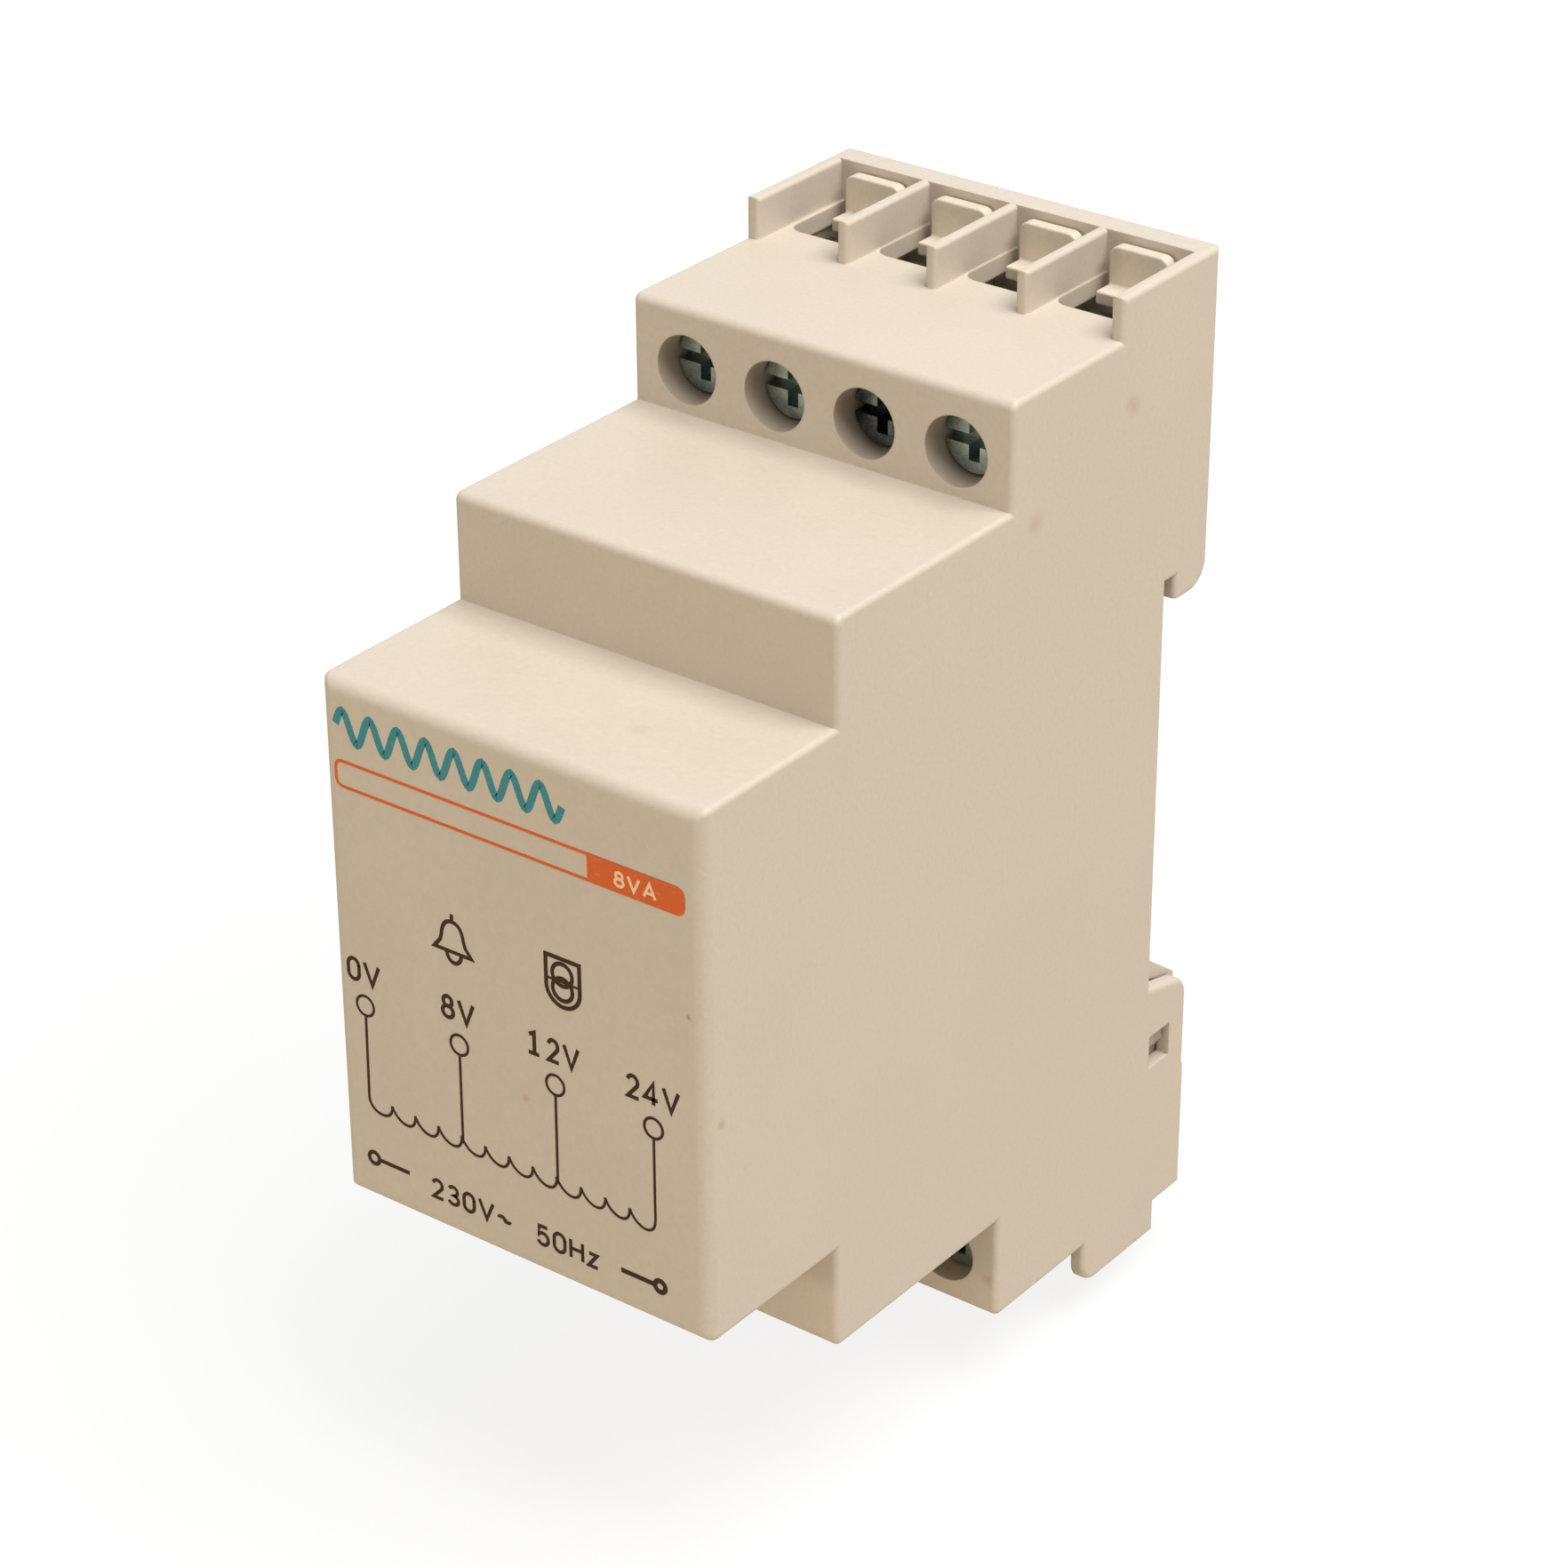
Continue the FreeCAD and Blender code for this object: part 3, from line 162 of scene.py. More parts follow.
def blend(tree, share, none, full):
    """A mix of two colours: all the first at share 0, all the second at share 1."""
    return add(tree, "Mix", {"data_type": "RGBA"}, {0: share, 6: none, 7: full}).outputs[2]


# %% [markdown]
# ## Housing: PBT from a spark-eroded mould
#
# The shell is PBT polyester, filled so that it doesn't burn, injected into a steel
# mould whose walls were eaten away by electric sparks. That leaves thousands of tiny
# craters, so the plastic looks dry and soft, with a low sheen and no mirror glints.
# The real craters are about 0.05 mm across; here they are drawn near 0.25 mm, because
# finer ones wouldn't show in the picture. A slower noise gives the faint clouds that
# the melt leaves, and a few dull marks from handling sit where a hand left them. No
# mould has truly sharp edges, so a bevel node lets light run softly over each one.
# What lies near a screw's axis, and before the screw's guide ends, is painted a shade
# browner: painted shade for the dim inside of the screwdriver holes. The base plate gets
# a dark spot of painted shade just behind each of the two small catch windows, and the
# carriers get a lighter copy of the plastic, which is painted light.

# %% Plastic
EDGE_RADIUS = 0.25
# Painted shade in the screw holes: its radius, its rim, where it ends, its strength and its
# colour.
HOLE_RADIUS = 2.86
HOLE_RIM = 0.04
HOLE_END = -15.9
HOLE_SHADE = 0.4
HOLE_SHADE_COLOUR = "#7B6448"
SCREWS = [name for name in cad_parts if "_screw_" in name]
SCREW_AXES = [sum(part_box(name), Vector()) / 2 for name in SCREWS]


def moulded_plastic(name, colour, shade, grain_mm, grain_depth_mm, rough, marks=(),
                    holes=()):
    """Moulded plastic: two close tones in clouds, a grained skin, dull marks and spots of
    painted shade if given, and painted shade in the given screw holes.
    """
    material, tree, here = start(name)
    clouds = noise(tree, here, 14, 3.0, 0.6)
    specks = noise(tree, here, grain_mm * 1.6, 2.0, 0.55)
    both = add(tree, "Math", {"operation": "MULTIPLY_ADD"}, {0: clouds, 1: 0.55, 2: specks})
    paint = blend(tree, remap(tree, both.outputs[0], 0.45, 1.1), linear(shade), linear(colour))
    depth = add(tree, "SeparateXYZ", inputs={"Vector": here}).outputs["Y"]
    # Painted shade: plastic near a screw's axis, before the guide ends, is painted browner.
    shaded = remap(tree, depth, (HOLE_END - 0.1) * MM, HOLE_END * MM, HOLE_SHADE, 0.0)
    flat = add(tree, "Mapping", inputs={"Vector": here, "Scale": (1.0, 0.0, 1.0)})
    for hole in holes:
        off = add(tree, "VectorMath", {"operation": "DISTANCE"},
                  {0: flat.outputs[0], 1: (hole.x, 0.0, hole.z)})
        hole_shade = remap(tree, off.outputs["Value"], HOLE_RADIUS * MM, (HOLE_RADIUS + HOLE_RIM) * MM,
                     shaded, 0.0)
        paint = blend(tree, hole_shade, paint, linear(HOLE_SHADE_COLOUR))
    # Marks: real stains from handling, and spots of painted shade.
    for place, reach, strength, stain_and_shade in marks:
        gap = add(tree, "VectorMath", {"operation": "DISTANCE"},
                  {0: here, 1: [c * MM for c in place]})
        edge = add(tree, "Math", {"operation": "MULTIPLY_ADD"},
                   {0: noise(tree, here, reach, 3.0), 1: -1.2 * reach * MM,
                    2: gap.outputs["Value"]})
        spot = remap(tree, edge.outputs[0], -0.8 * reach * MM, 0.6 * reach * MM, strength, 0.0,
                     kind="SMOOTHSTEP")
        paint = blend(tree, spot, paint, linear(stain_and_shade))
    edges = add(tree, "Bevel", {"samples": 6}, {"Radius": EDGE_RADIUS * MM})
    skin = add(tree, "Bump", inputs={"Height": noise(tree, here, grain_mm, 2.0, 0.6),
                                     "Strength": 0.3, "Distance": grain_depth_mm * MM,
                                     "Normal": edges.outputs[0]})
    gloss = remap(tree, clouds, 0.3, 0.7, rough - 0.05, rough + 0.05)
    close(tree, {"Base Color": paint, "Roughness": gloss, "IOR": 1.55,
                 "Normal": skin.outputs[0]})
    return material


SIDE = 18.0
FRONT = -59.45
BROWN = "#A87F5E"
# Each mark: place and reach in millimetres, strength from 0 to 1, and the stain's colour.
HANDLING_MARKS = [
    ((SIDE, -5.74, 34.56), 1.2, 0.42, BROWN),
    ((SIDE, -18.75, 29.5), 1.4, 0.34, BROWN),
    ((SIDE, -57.68, -3.86), 0.6, 0.5, BROWN),
    ((17.15, -21.85, -37.65), 0.7, 0.5, BROWN),
    ((16.52, FRONT, 5.53), 0.3, 0.75, "#4F5A52"),
    ((0.8, FRONT, -7.25), 0.55, 0.4, "#A56A4C"),
    ((6.41, -52.13, 22.6), 1.1, 0.22, BROWN),
]
pbt_housing = moulded_plastic("pbt_spark_eroded_warm_grey", "#CDC0AF", "#C5B8A7", 0.25, 0.02,
                              0.52, HANDLING_MARKS, SCREW_AXES)
# Painted light: the carriers get a lighter copy of the housing's plastic.
pbt_carrier_painted_light = moulded_plastic("pbt_spark_eroded_carrier_painted_light", "#D9CCB9", "#CFC2AE", 0.25, 0.02,
                              0.5)
# Painted shade: a dark spot on the base plate just behind each catch window.
WINDOW_SHADE = [((side * 16.4, 1.65, -26.55), 2.2, 0.95, "#57442D") for side in (-1, 1)]
pbt_base_plate = moulded_plastic("pbt_spark_eroded_base_plate", "#CDC0AF", "#C5B8A7", 0.25,
                                 0.02, 0.5, WINDOW_SHADE)
nylon_clip = moulded_plastic("nylon_moulded_clip", "#C9BBA9", "#BFB09D", 0.35, 0.015, 0.42)
nylon_bobbin = moulded_plastic("glass_filled_nylon_natural", "#D9CDB0", "#C7B993", 0.4, 0.02,
                               0.45)
white_can = moulded_plastic("phenolic_cutout_case", "#E6E2D8", "#DAD5C8", 0.5, 0.01, 0.35)
print("marks:", len(HANDLING_MARKS) + len(WINDOW_SHADE), "| dusty holes:", len(SCREW_AXES))

# %% [markdown]
# ## Metals
#
# The terminal screws and clamp cages are steel with a thin zinc coat, dipped in a
# blue-green passivation bath: a grey metal with a cool, slightly patchy sheen. The
# contact bars are stamped brass, and the spring is drawn carbon steel. A noise that
# is stretched along one direction gives the fine lines of turning or rolling, drawn
# 0.12 mm apart because real ones would be too fine to see. One screw gets a darker,
# glossier copy of the zinc finish, and its darker colour is painted shade.

# %% Metals
def drawn_metal(name, colour, patch, rough, line_mm, stretch, patch_mm=1.6):
    """Bare or plated metal: patches of a second tone, and fine lines along one direction."""
    material, tree, here = start(name)
    tone = remap(tree, noise(tree, here, patch_mm, 4.0, 0.65), 0.35, 0.65)
    paint = blend(tree, tone, linear(patch), linear(colour))
    along = add(tree, "Mapping", inputs={"Vector": here, "Scale": stretch})
    lines = noise(tree, along.outputs[0], line_mm)
    skin = add(tree, "Bump", inputs={"Height": lines, "Strength": 0.35, "Distance": 0.01 * MM})
    gloss = remap(tree, lines, 0.3, 0.7, rough - 0.08, rough + 0.08)
    close(tree, {"Base Color": paint, "Metallic": 1.0, "Roughness": gloss,
                 "Normal": skin.outputs[0]})
    return material


LINES = 0.12
ALONG_Y = (1.0, 0.2, 1.0)
ALONG_Z = (1.0, 1.0, 0.15)
zinc_screw = drawn_metal("zinc_plated_steel_screw", "#B0BBB4", "#7C8B89", 0.33, LINES, ALONG_Y,
                         patch_mm=2.4)
# Painted shade: a darker, glossier copy of the zinc finish for one screw.
zinc_screw_painted_dark = drawn_metal("zinc_plated_steel_screw_painted_shade", "#7C8384", "#3E4648", 0.22,
                               LINES, ALONG_Y, patch_mm=1.3)
zinc_cage = drawn_metal("zinc_plated_steel_cage", "#A29F96", "#857F74", 0.4, LINES, ALONG_Z)
brass_bar = drawn_metal("stamped_brass", "#C9A45C", "#B18B45", 0.32, LINES, ALONG_Z)
spring_wire = drawn_metal("drawn_spring_steel", "#8D8F93", "#75777C", 0.3, 0.1, (1.0, 1.0, 1.0))
print("metals:", 5)

# %% [markdown]
# ## The coil pack inside
#
# Nobody sees the core and coils in the photograph, but an exploded view shows them.
# The core is a stack of varnished sheets of 0.5 mm electrical steel, so its edges
# show thin lines. The coils are enamelled copper wound in close layers, and each has
# a wrap of yellow polyester tape. A band texture is the plain way to draw both: its
# spacing is the sheet's thickness or the wire's diameter.

# %% Coil pack finishes
def banded(name, colour, groove, step_mm, direction, depth_mm, rough, metal):
    """Close bands across one direction, such as stacked sheets or wound wire."""
    material, tree, here = start(name)
    bands = add(tree, "TexWave", {"wave_type": "BANDS", "bands_direction": direction},
                {"Vector": here, "Scale": size(step_mm) / 20.0, "Distortion": 0.6,
                 "Detail": 1.0, "Detail Scale": 2.0})
    paint = blend(tree, bands.outputs["Fac"], linear(groove), linear(colour))
    skin = add(tree, "Bump", inputs={"Height": bands.outputs["Fac"], "Strength": 0.7,
                                     "Distance": depth_mm * MM})
    close(tree, {"Base Color": paint, "Metallic": metal, "Roughness": rough,
                 "Normal": skin.outputs[0]})
    return material


core_sheets = banded("varnished_electrical_steel", "#6C6A68", "#3B3937", 0.5, "Y", 0.03, 0.45,
                     1.0)
copper_fine = banded("enamelled_copper_fine", "#B5622F", "#7E3B17", 0.25, "Z", 0.05, 0.25, 1.0)
copper_thick = banded("enamelled_copper_thick", "#C06D35", "#82401B", 0.6, "Z", 0.12, 0.25,
                      1.0)
tape_wrap = banded("polyester_tape", "#D9B13A", "#C59A27", 6.0, "Z", 0.02, 0.3, 0.0)
sleeve_black = moulded_plastic("pvc_sleeve_black", "#2A2725", "#201D1C", 0.6, 0.01, 0.4)
sleeve_blue = moulded_plastic("pvc_sleeve_blue", "#2F5E93", "#274F80", 0.6, 0.01, 0.4)
sleeve_red = moulded_plastic("pvc_sleeve_red", "#A93A2C", "#953024", 0.6, 0.01, 0.4)
sleeve_white = moulded_plastic("pvc_sleeve_white", "#DDD8CC", "#D0CABB", 0.6, 0.01, 0.4)
print("coil pack finishes:", 8)

# %% [markdown]
# ## Print: pad-printed ink
#
# The front is pad printed: a silicone pad lifts a film of ink from an etched plate
# and sets it down about 0.02 mm thick. It dries as matt as the grained plastic and
# thins slightly where the grain is high. Each ink gets two close tones, mixed by a
# fine noise, and a faint bump from the skin beneath.

# %% Inks
def pad_ink(name, colour, thin):
    """Pad-printed ink over grained plastic."""
    material, tree, here = start(name)
    grain = noise(tree, here, 0.3)
    paint = blend(tree, remap(tree, grain, 0.62, 0.78), linear(colour), linear(thin))
    skin = add(tree, "Bump", inputs={"Height": grain, "Strength": 0.4, "Distance": 0.01 * MM})
    close(tree, {"Base Color": paint, "Roughness": 0.6, "IOR": 1.5, "Specular IOR Level": 0.2,
                 "Normal": skin.outputs[0]})
    return material


ink_dark = pad_ink("pad_ink_dark_brown", "#371F0F", "#4D3622")
ink_orange = pad_ink("pad_ink_orange", "#D7632C", "#DF8352")
ink_teal = pad_ink("pad_ink_teal", "#3E8890", "#609FA0")
ink_pale = pad_ink("pad_ink_pale", "#F0CDAB", "#EABB93")
print("inks:", 4)

# %% [markdown]
# ## Dress the CAD pieces
#
# The solids already have the right shape, so each only gets its finish. A table from
# the start of a piece's name to its finish is shorter than forty lines, and it stops
# with an error if a piece would be left bare. The stepped posts of the two carriers
# have plainly soft edges, so their seams are joined, their flat faces merged, and a
# bevel of 0.5 mm rounds them.

# %% Finishes by piece
FINISHES = {
    "housing": pbt_housing,
    "base_plate": pbt_base_plate,
    "upper_terminal_carrier": pbt_carrier_painted_light,
    "lower_terminal_carrier": pbt_carrier_painted_light,
    "rail_clip": nylon_clip,
    "clip_spring": spring_wire,
    "upper_screw": zinc_screw,
    "upper_screw_3": zinc_screw_painted_dark,
    "lower_screw": zinc_screw,
    "upper_cage": zinc_cage,
    "lower_cage": zinc_cage,
    "upper_contact_bar": brass_bar,
    "lower_contact_bar": brass_bar,
    "core_": core_sheets,
    "bobbin": nylon_bobbin,
    "primary_winding": copper_fine,
    "secondary_winding": copper_thick,
    "primary_tape": tape_wrap,
    "secondary_tape": tape_wrap,
    "thermal_cutout": white_can,
    "secondary_lead_1": sleeve_black,
    "secondary_lead_2": sleeve_blue,
    "secondary_lead_3": sleeve_red,
    "secondary_lead_4": sleeve_white,
    "primary_lead": sleeve_black,
    "cutout_lead": sleeve_white,
    "print_bar": ink_orange,
}
POST_ROUND = 0.5
for name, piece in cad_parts.items():
    fits = [f for f in FINISHES if name.startswith(f)]
    assert fits, name + " has no finish"
    piece.data.materials.clear()
    piece.data.materials.append(FINISHES[max(fits, key=len)])
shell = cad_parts["housing"]
for name in ("upper_terminal_carrier", "lower_terminal_carrier"):
    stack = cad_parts[name].modifiers
    stack.new("join_seams", "WELD").merge_threshold = 0.002 * MM
    flat = stack.new("flat_faces", "DECIMATE")
    flat.decimate_type = "DISSOLVE"
    flat.angle_limit = math.radians(1.5)
    soft = stack.new("soft_edges", "BEVEL")
    soft.limit_method = "ANGLE"
    soft.angle_limit = math.radians(50)
    soft.width = POST_ROUND * MM
    soft.segments = 4
print("housing faces:", len(shell.data.polygons),
      "| smooth:", sum(p.use_smooth for p in shell.data.polygons),
      "| own normals:", shell.data.has_custom_normals)

# %% [markdown]
# ## Drawing with a pen of one width
#
# The winding diagram, the bell and the terminal rings are all lines of even width.
# A pen function takes the points of a line, in millimetres on the front, and builds a
# thin ribbon of ink that mitres round its corners. A bevelled curve would do as well,
# but its tube is round, and ink lies flat. Where two lines cross, their films would
# share one plane and flicker, so neighbours differ in thickness by a hair.

# %% Pen
INK = 0.02
HAIR = 0.0002
LEVELS = 97


def ink_piece(name, ink, sheet):
    """Puts a finished ink mesh on the front, where it rides with the housing."""
    mesh = bpy.data.meshes.new(name)
    sheet.normal_update()
    sheet.to_mesh(mesh)
    sheet.free()
    piece = bpy.data.objects.new(name, mesh)
    bpy.context.scene.collection.objects.link(piece)
    mesh.materials.append(ink)
    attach(piece, "body")
    return piece


def film(sheet, raised=0.0):
    """The back and front of the next ink film, a hair thicker or thinner than the last."""
    return FRONT - raised, FRONT - raised - INK - HAIR * (len(sheet.verts) % LEVELS)


def stroke(sheet, points, width, closed=False, raised=0.0):
    """Adds one line of ink, a flat ribbon along points (x, z) in millimetres, to a bmesh."""
    line = [Vector(p) for p in points]
    depths = film(sheet, raised)
    count = len(line)
    ribs = []
    for i, here in enumerate(line):
        back = line[i - 1] if i or closed else None
        ahead = line[(i + 1) % count] if i < count - 1 or closed else None
        into = (here - back).normalized() if back is not None else None
        out = (ahead - here).normalized() if ahead is not None else None
        into, out = into or out, out or into
        way = (into + out).normalized() if (into + out).length > 0.05 else out
        lean = max(0.45, way.dot(out))
        side = Vector((-way.y, way.x)) * width / 2 / lean
        rib = []
        for spot in (here + side, here - side):
            for depth in depths:
                rib.append(sheet.verts.new((spot.x * MM, depth * MM, spot.y * MM)))
        ribs.append(rib)
    ends = range(count if closed else count - 1)
    for i in ends:
        a, b = ribs[i], ribs[(i + 1) % count]
        for j, k in ((1, 3), (3, 2), (2, 0), (0, 1)):
            sheet.faces.new((a[j], b[j], b[k], a[k]))
    if not closed:
        first, last = ribs[0], ribs[-1]
        sheet.faces.new((first[0], first[1], first[3], first[2]))
        sheet.faces.new((last[2], last[3], last[1], last[0]))


def patch(sheet, outline):
    """Adds a filled film of ink inside an outline that runs anticlockwise from the front."""
    depths = film(sheet)
    back, top = [[sheet.verts.new((x * MM, y * MM, z * MM)) for x, z in outline] for y in depths]
    sheet.faces.new(top)
    for k in range(len(outline)):
        sheet.faces.new((back[k - 1], back[k], top[k], top[k - 1]))


def oval(centre, wide, tall, start_at, end_at, steps=24):
    """Points of an arc of an ellipse between two angles in degrees."""
    angles = [math.radians(start_at + (end_at - start_at) * k / steps) for k in range(steps + 1)]
    return [(centre[0] + wide * math.cos(a), centre[1] + tall * math.sin(a)) for a in angles]


def ring(centre, radius):
    """Points of a circle."""
    return oval(centre, radius, radius, 0, 360, 40)[:-1]


def bend(start_at, start_handle, end_handle, end_at, steps=14):
    """Points of a curve between two ends, pulled by its two handles."""
    return [tuple(p) for p in interpolate_bezier(Vector(start_at), Vector(start_handle),
                                                 Vector(end_handle), Vector(end_at), steps)]


print("ink thickness, mm:", INK)

# %% [markdown]
# ## The winding diagram
#
# Four rings stand for the four upper terminals. A line runs from each ring down to
# the coil, which is drawn as scallops, four from one tap to the next, so the drawing
# tells an electrician which two screws give which voltage. Below are the two mains
# terminals, drawn heavier.

# %% Winding diagram
TAPS = [(-15.06, -4.95), (-5.62, -4.97), (3.74, -4.99), (13.05, -5.2)]
RING = 0.86
COIL_TOP = -13.16
COIL_LOW = -14.32
FINE = 0.235
diagram = bmesh.new()
for tap in TAPS:
    stroke(diagram, ring(tap, RING), FINE, closed=True)
for tap in TAPS[1:3]:
    stroke(diagram, [(tap[0], tap[1] - RING), (tap[0] - 0.05, COIL_TOP - 0.6)], FINE)
first, last = TAPS[0], TAPS[-1]
turns = 12
step = (last[0] - first[0]) / turns
cusps = [first[0] - 0.1 + step * k for k in range(turns + 1)]
for k in range(turns):
    left, right = cusps[k], cusps[k + 1]
    rise_to = (right, COIL_TOP)
    if k == 0:
        points = [(first[0], first[1] - RING), (left, COIL_TOP)]
        points += bend((left, COIL_TOP), (left + 0.05, COIL_LOW - 0.25),
                       (right + 0.1, COIL_LOW - 0.55), rise_to)[1:]
    elif k == turns - 1:
        end = (last[0], COIL_TOP)
        points = bend((left, COIL_TOP), (left + 0.5, COIL_LOW - 0.25),
                      (last[0] + 0.05, COIL_LOW - 0.75), end)
        points.append((last[0], last[1] - RING))
    else:
        points = bend((left, COIL_TOP), (left + 0.5, COIL_LOW - 0.25),
                      (right + 0.1, COIL_LOW - 0.6), rise_to)
    stroke(diagram, points, FINE)
# Each mains terminal: centre, radius, where its line ends, and the pen.
MAINS = [((-14.98, -18.7), 0.52, -11.36, 0.34), ((13.38, -19.03), 0.49, 9.65, 0.42)]
for centre, radius, reach, pen in MAINS:
    stroke(diagram, ring(centre, radius), pen, closed=True)
    rim = centre[0] + (radius if reach > centre[0] else -radius)
    stroke(diagram, [(rim, centre[1]), (reach, centre[1])], pen)
ink_piece("print_winding_diagram", ink_dark, diagram)
print("scallops:", turns, "each, mm:", round(step, 2))

# %% [markdown]
# ## The bell and the shield
#
# A bell sign says what the transformer feeds. The shield with two linked rings is the
# standard sign for a safety isolating transformer: two windings that share only their
# field. Both are a few strokes of the same pen.

# %% Signs
signs = bmesh.new()
BELL_X = -5.85
SKIRT = 3.05
SIGN_PEN = 0.33
half_bell = [(BELL_X - 1.82, SKIRT), (BELL_X - 1.25, 3.75)]
half_bell += bend((BELL_X - 1.25, 3.75), (BELL_X - 0.95, 4.3), (BELL_X - 1.15, 5.62),
                  (BELL_X, 5.66))[1:]
mirrored = [(2 * BELL_X - x, z) for x, z in reversed(half_bell)]
stroke(signs, half_bell + mirrored[1:], SIGN_PEN, closed=True)
stroke(signs, [(BELL_X, 5.6), (BELL_X, 6.3)], SIGN_PEN)
clapper = [(BELL_X + 0.1 - 0.72 * math.cos(a), SKIRT - 0.92 * math.sin(a))
           for a in [math.pi * k / 16 for k in range(17)]]
stroke(signs, clapper, SIGN_PEN)
SHIELD = (3.2, 6.38)
SHIELD_TOP, SHIELD_BAR, SHIELD_ROUND = 6.2, 4.24, 3.7
SHIELD_PEN, SHIELD_FINE = 0.34, 0.18
LINKED_RINGS = (4.84, 3.6)
LINKED_RADIUS = 0.94
middle = sum(SHIELD) / 2
half = (SHIELD[1] - SHIELD[0]) / 2
shield = [(SHIELD[0], SHIELD_TOP)] + oval((middle, SHIELD_ROUND), half, half, 180, 360, 20)
shield.append((SHIELD[1], SHIELD_TOP))
stroke(signs, shield, SHIELD_PEN, closed=True)
stroke(signs, [(SHIELD[0], SHIELD_BAR), (SHIELD[1], SHIELD_BAR)], SHIELD_FINE)
for height in LINKED_RINGS:
    stroke(signs, ring((middle - 0.05, height), LINKED_RADIUS), SHIELD_PEN, closed=True)
ink_piece("print_signs", ink_dark, signs)
print("shield width, mm:", round(SHIELD[1] - SHIELD[0], 2))

# %% [markdown]
# ## Numbers and units
#
# The voltages and the mains rating are plain lettering of even width, so the same pen
# can write them. Each sign is a few strokes in a box one unit high. A text is then
# spread over the exact width that the print has on the object, and only its height
# and its pen change from row to row.

# %% Lettering
def loop(centre, wide, tall):
    """A closed oval whose ends meet."""
    return oval(centre, wide, tall, -90, 270, 26)


ZERO = oval((0.3, 0.68), 0.3, 0.32, 0, 180, 16)
ZERO += oval((0.3, 0.32), 0.3, 0.32, 180, 360, 16)
TWO = oval((0.29, 0.71), 0.27, 0.29, 165, -30, 18) + [(0.02, 0.0), (0.6, 0.0)]
THREE = oval((0.29, 0.75), 0.25, 0.25, 155, -90, 18)
THREE += oval((0.29, 0.26), 0.3, 0.26, 80, -158, 20)
FIVE = [(0.55, 1.0), (0.1, 1.0), (0.06, 0.52)]
FIVE += oval((0.29, 0.32), 0.3, 0.32, 138, -155, 22)
TILDE = oval((0.165, 0.42), 0.165, 0.12, 180, 0, 12)
TILDE += oval((0.495, 0.42), 0.165, 0.12, 180, 360, 12)
# Each sign: its width, and its strokes.
SIGNS = {
    "0": (0.6, [ZERO + ZERO[:2]]),
    "1": (0.8, [[(0.06, 0.86), (0.34, 1.0), (0.34, 0.0)], [(0.0, 0.0), (0.6, 0.0)]]),
    "2": (0.6, [TWO]),
    "3": (0.6, [THREE]),
    "4": (0.7, [[(0.7, 0.26), (0.0, 0.26), (0.48, 1.0), (0.48, 0.0)]]),
    "5": (0.6, [FIVE]),
    "8": (0.6, [loop((0.3, 0.76), 0.24, 0.24), loop((0.3, 0.27), 0.3, 0.27)]),
    "V": (0.8, [[(0.0, 1.0), (0.4, 0.0), (0.8, 1.0)]]),
    "A": (0.8, [[(0.0, 0.0), (0.4, 1.0), (0.8, 0.0)], [(0.13, 0.31), (0.67, 0.31)]]),
    "H": (0.66, [[(0.0, 0.0), (0.0, 1.0)], [(0.66, 0.0), (0.66, 1.0)],
                 [(0.0, 0.52), (0.66, 0.52)]]),
    "z": (0.5, [[(0.04, 0.68), (0.48, 0.68), (0.0, 0.0), (0.5, 0.0)]]),
    "~": (0.66, [TILDE]),
}
SPACING = 0.33


def lettering(sheet, text, left, right, low, high, pen, raised=0.0):
    """Writes a text with the pen, spread over a box on the front given in millimetres."""
    length = sum(SIGNS[sign][0] for sign in text) + SPACING * (len(text) - 1)
    across = (right - left - pen) / length
    up = high - low - pen
    at = 0.0
    for sign in text:
        width, lines = SIGNS[sign]
        for line in lines:
            spots = [(left + pen / 2 + (at + x) * across, low + pen / 2 + z * up)
                     for x, z in line]
            stroke(sheet, spots, pen, raised=raised)
        at += width + SPACING


# Each text: its left, right and lower edge in millimetres, and its upper edge if it varies.
TERMINALS = [("0V", -16.76, -13.33, -3.06), ("8V", -7.31, -3.93, -3.02),
             ("12V", 1.1, 6.2, -3.12), ("24V", 10.5, 15.6, -3.36)]
TERMINAL_HEIGHT, TERMINAL_PEN = 2.16, 0.33
SUPPLY = [("230V~", -9.14, -1.08, -19.98, -18.08), ("50Hz", 1.36, 7.5, -20.05, -18.12)]
SUPPLY_PEN = 0.3
words = bmesh.new()
for text, left, right, low in TERMINALS:
    lettering(words, text, left, right, low, low + TERMINAL_HEIGHT, TERMINAL_PEN)
for text, left, right, low, high in SUPPLY:
    lettering(words, text, left, right, low, high, SUPPLY_PEN)
ink_piece("print_numbers", ink_dark, words)
print("texts:", len(TERMINALS) + len(SUPPLY))

# %% [markdown]
# ## The rating bar
#
# The CAD model carries this bar as a plain solid. Here it is printed like the rest: an
# outline with soft corners, a filled end, and the rating in pale ink over the fill.
# The piece stands in for the CAD bar, so that solid is hidden.

# %% Rating bar
BAR_LEFT, BAR_RIGHT, BAR_LOW, BAR_TOP = -16.85, 16.35, 13.65, 16.05
BAR_FILL = 7.4
CORNER = 0.75
BAR_PEN = 0.26
RATING_LEFT, RATING_RIGHT, RATING_LOW, RATING_TOP = 9.87, 13.78, 14.12, 15.47
RATING_PEN = 0.24


def soft_box(left, right, low, high, reach, round_left=True):
    """Outline of a box with soft corners, anticlockwise from the front."""
    points = oval((right - reach, low + reach), reach, reach, -90, 0, 6)
    points += oval((right - reach, high - reach), reach, reach, 0, 90, 6)
    if round_left:
        points += oval((left + reach, high - reach), reach, reach, 90, 180, 6)
        points += oval((left + reach, low + reach), reach, reach, 180, 270, 6)
    else:
        points += [(left, high), (left, low)]
    return points


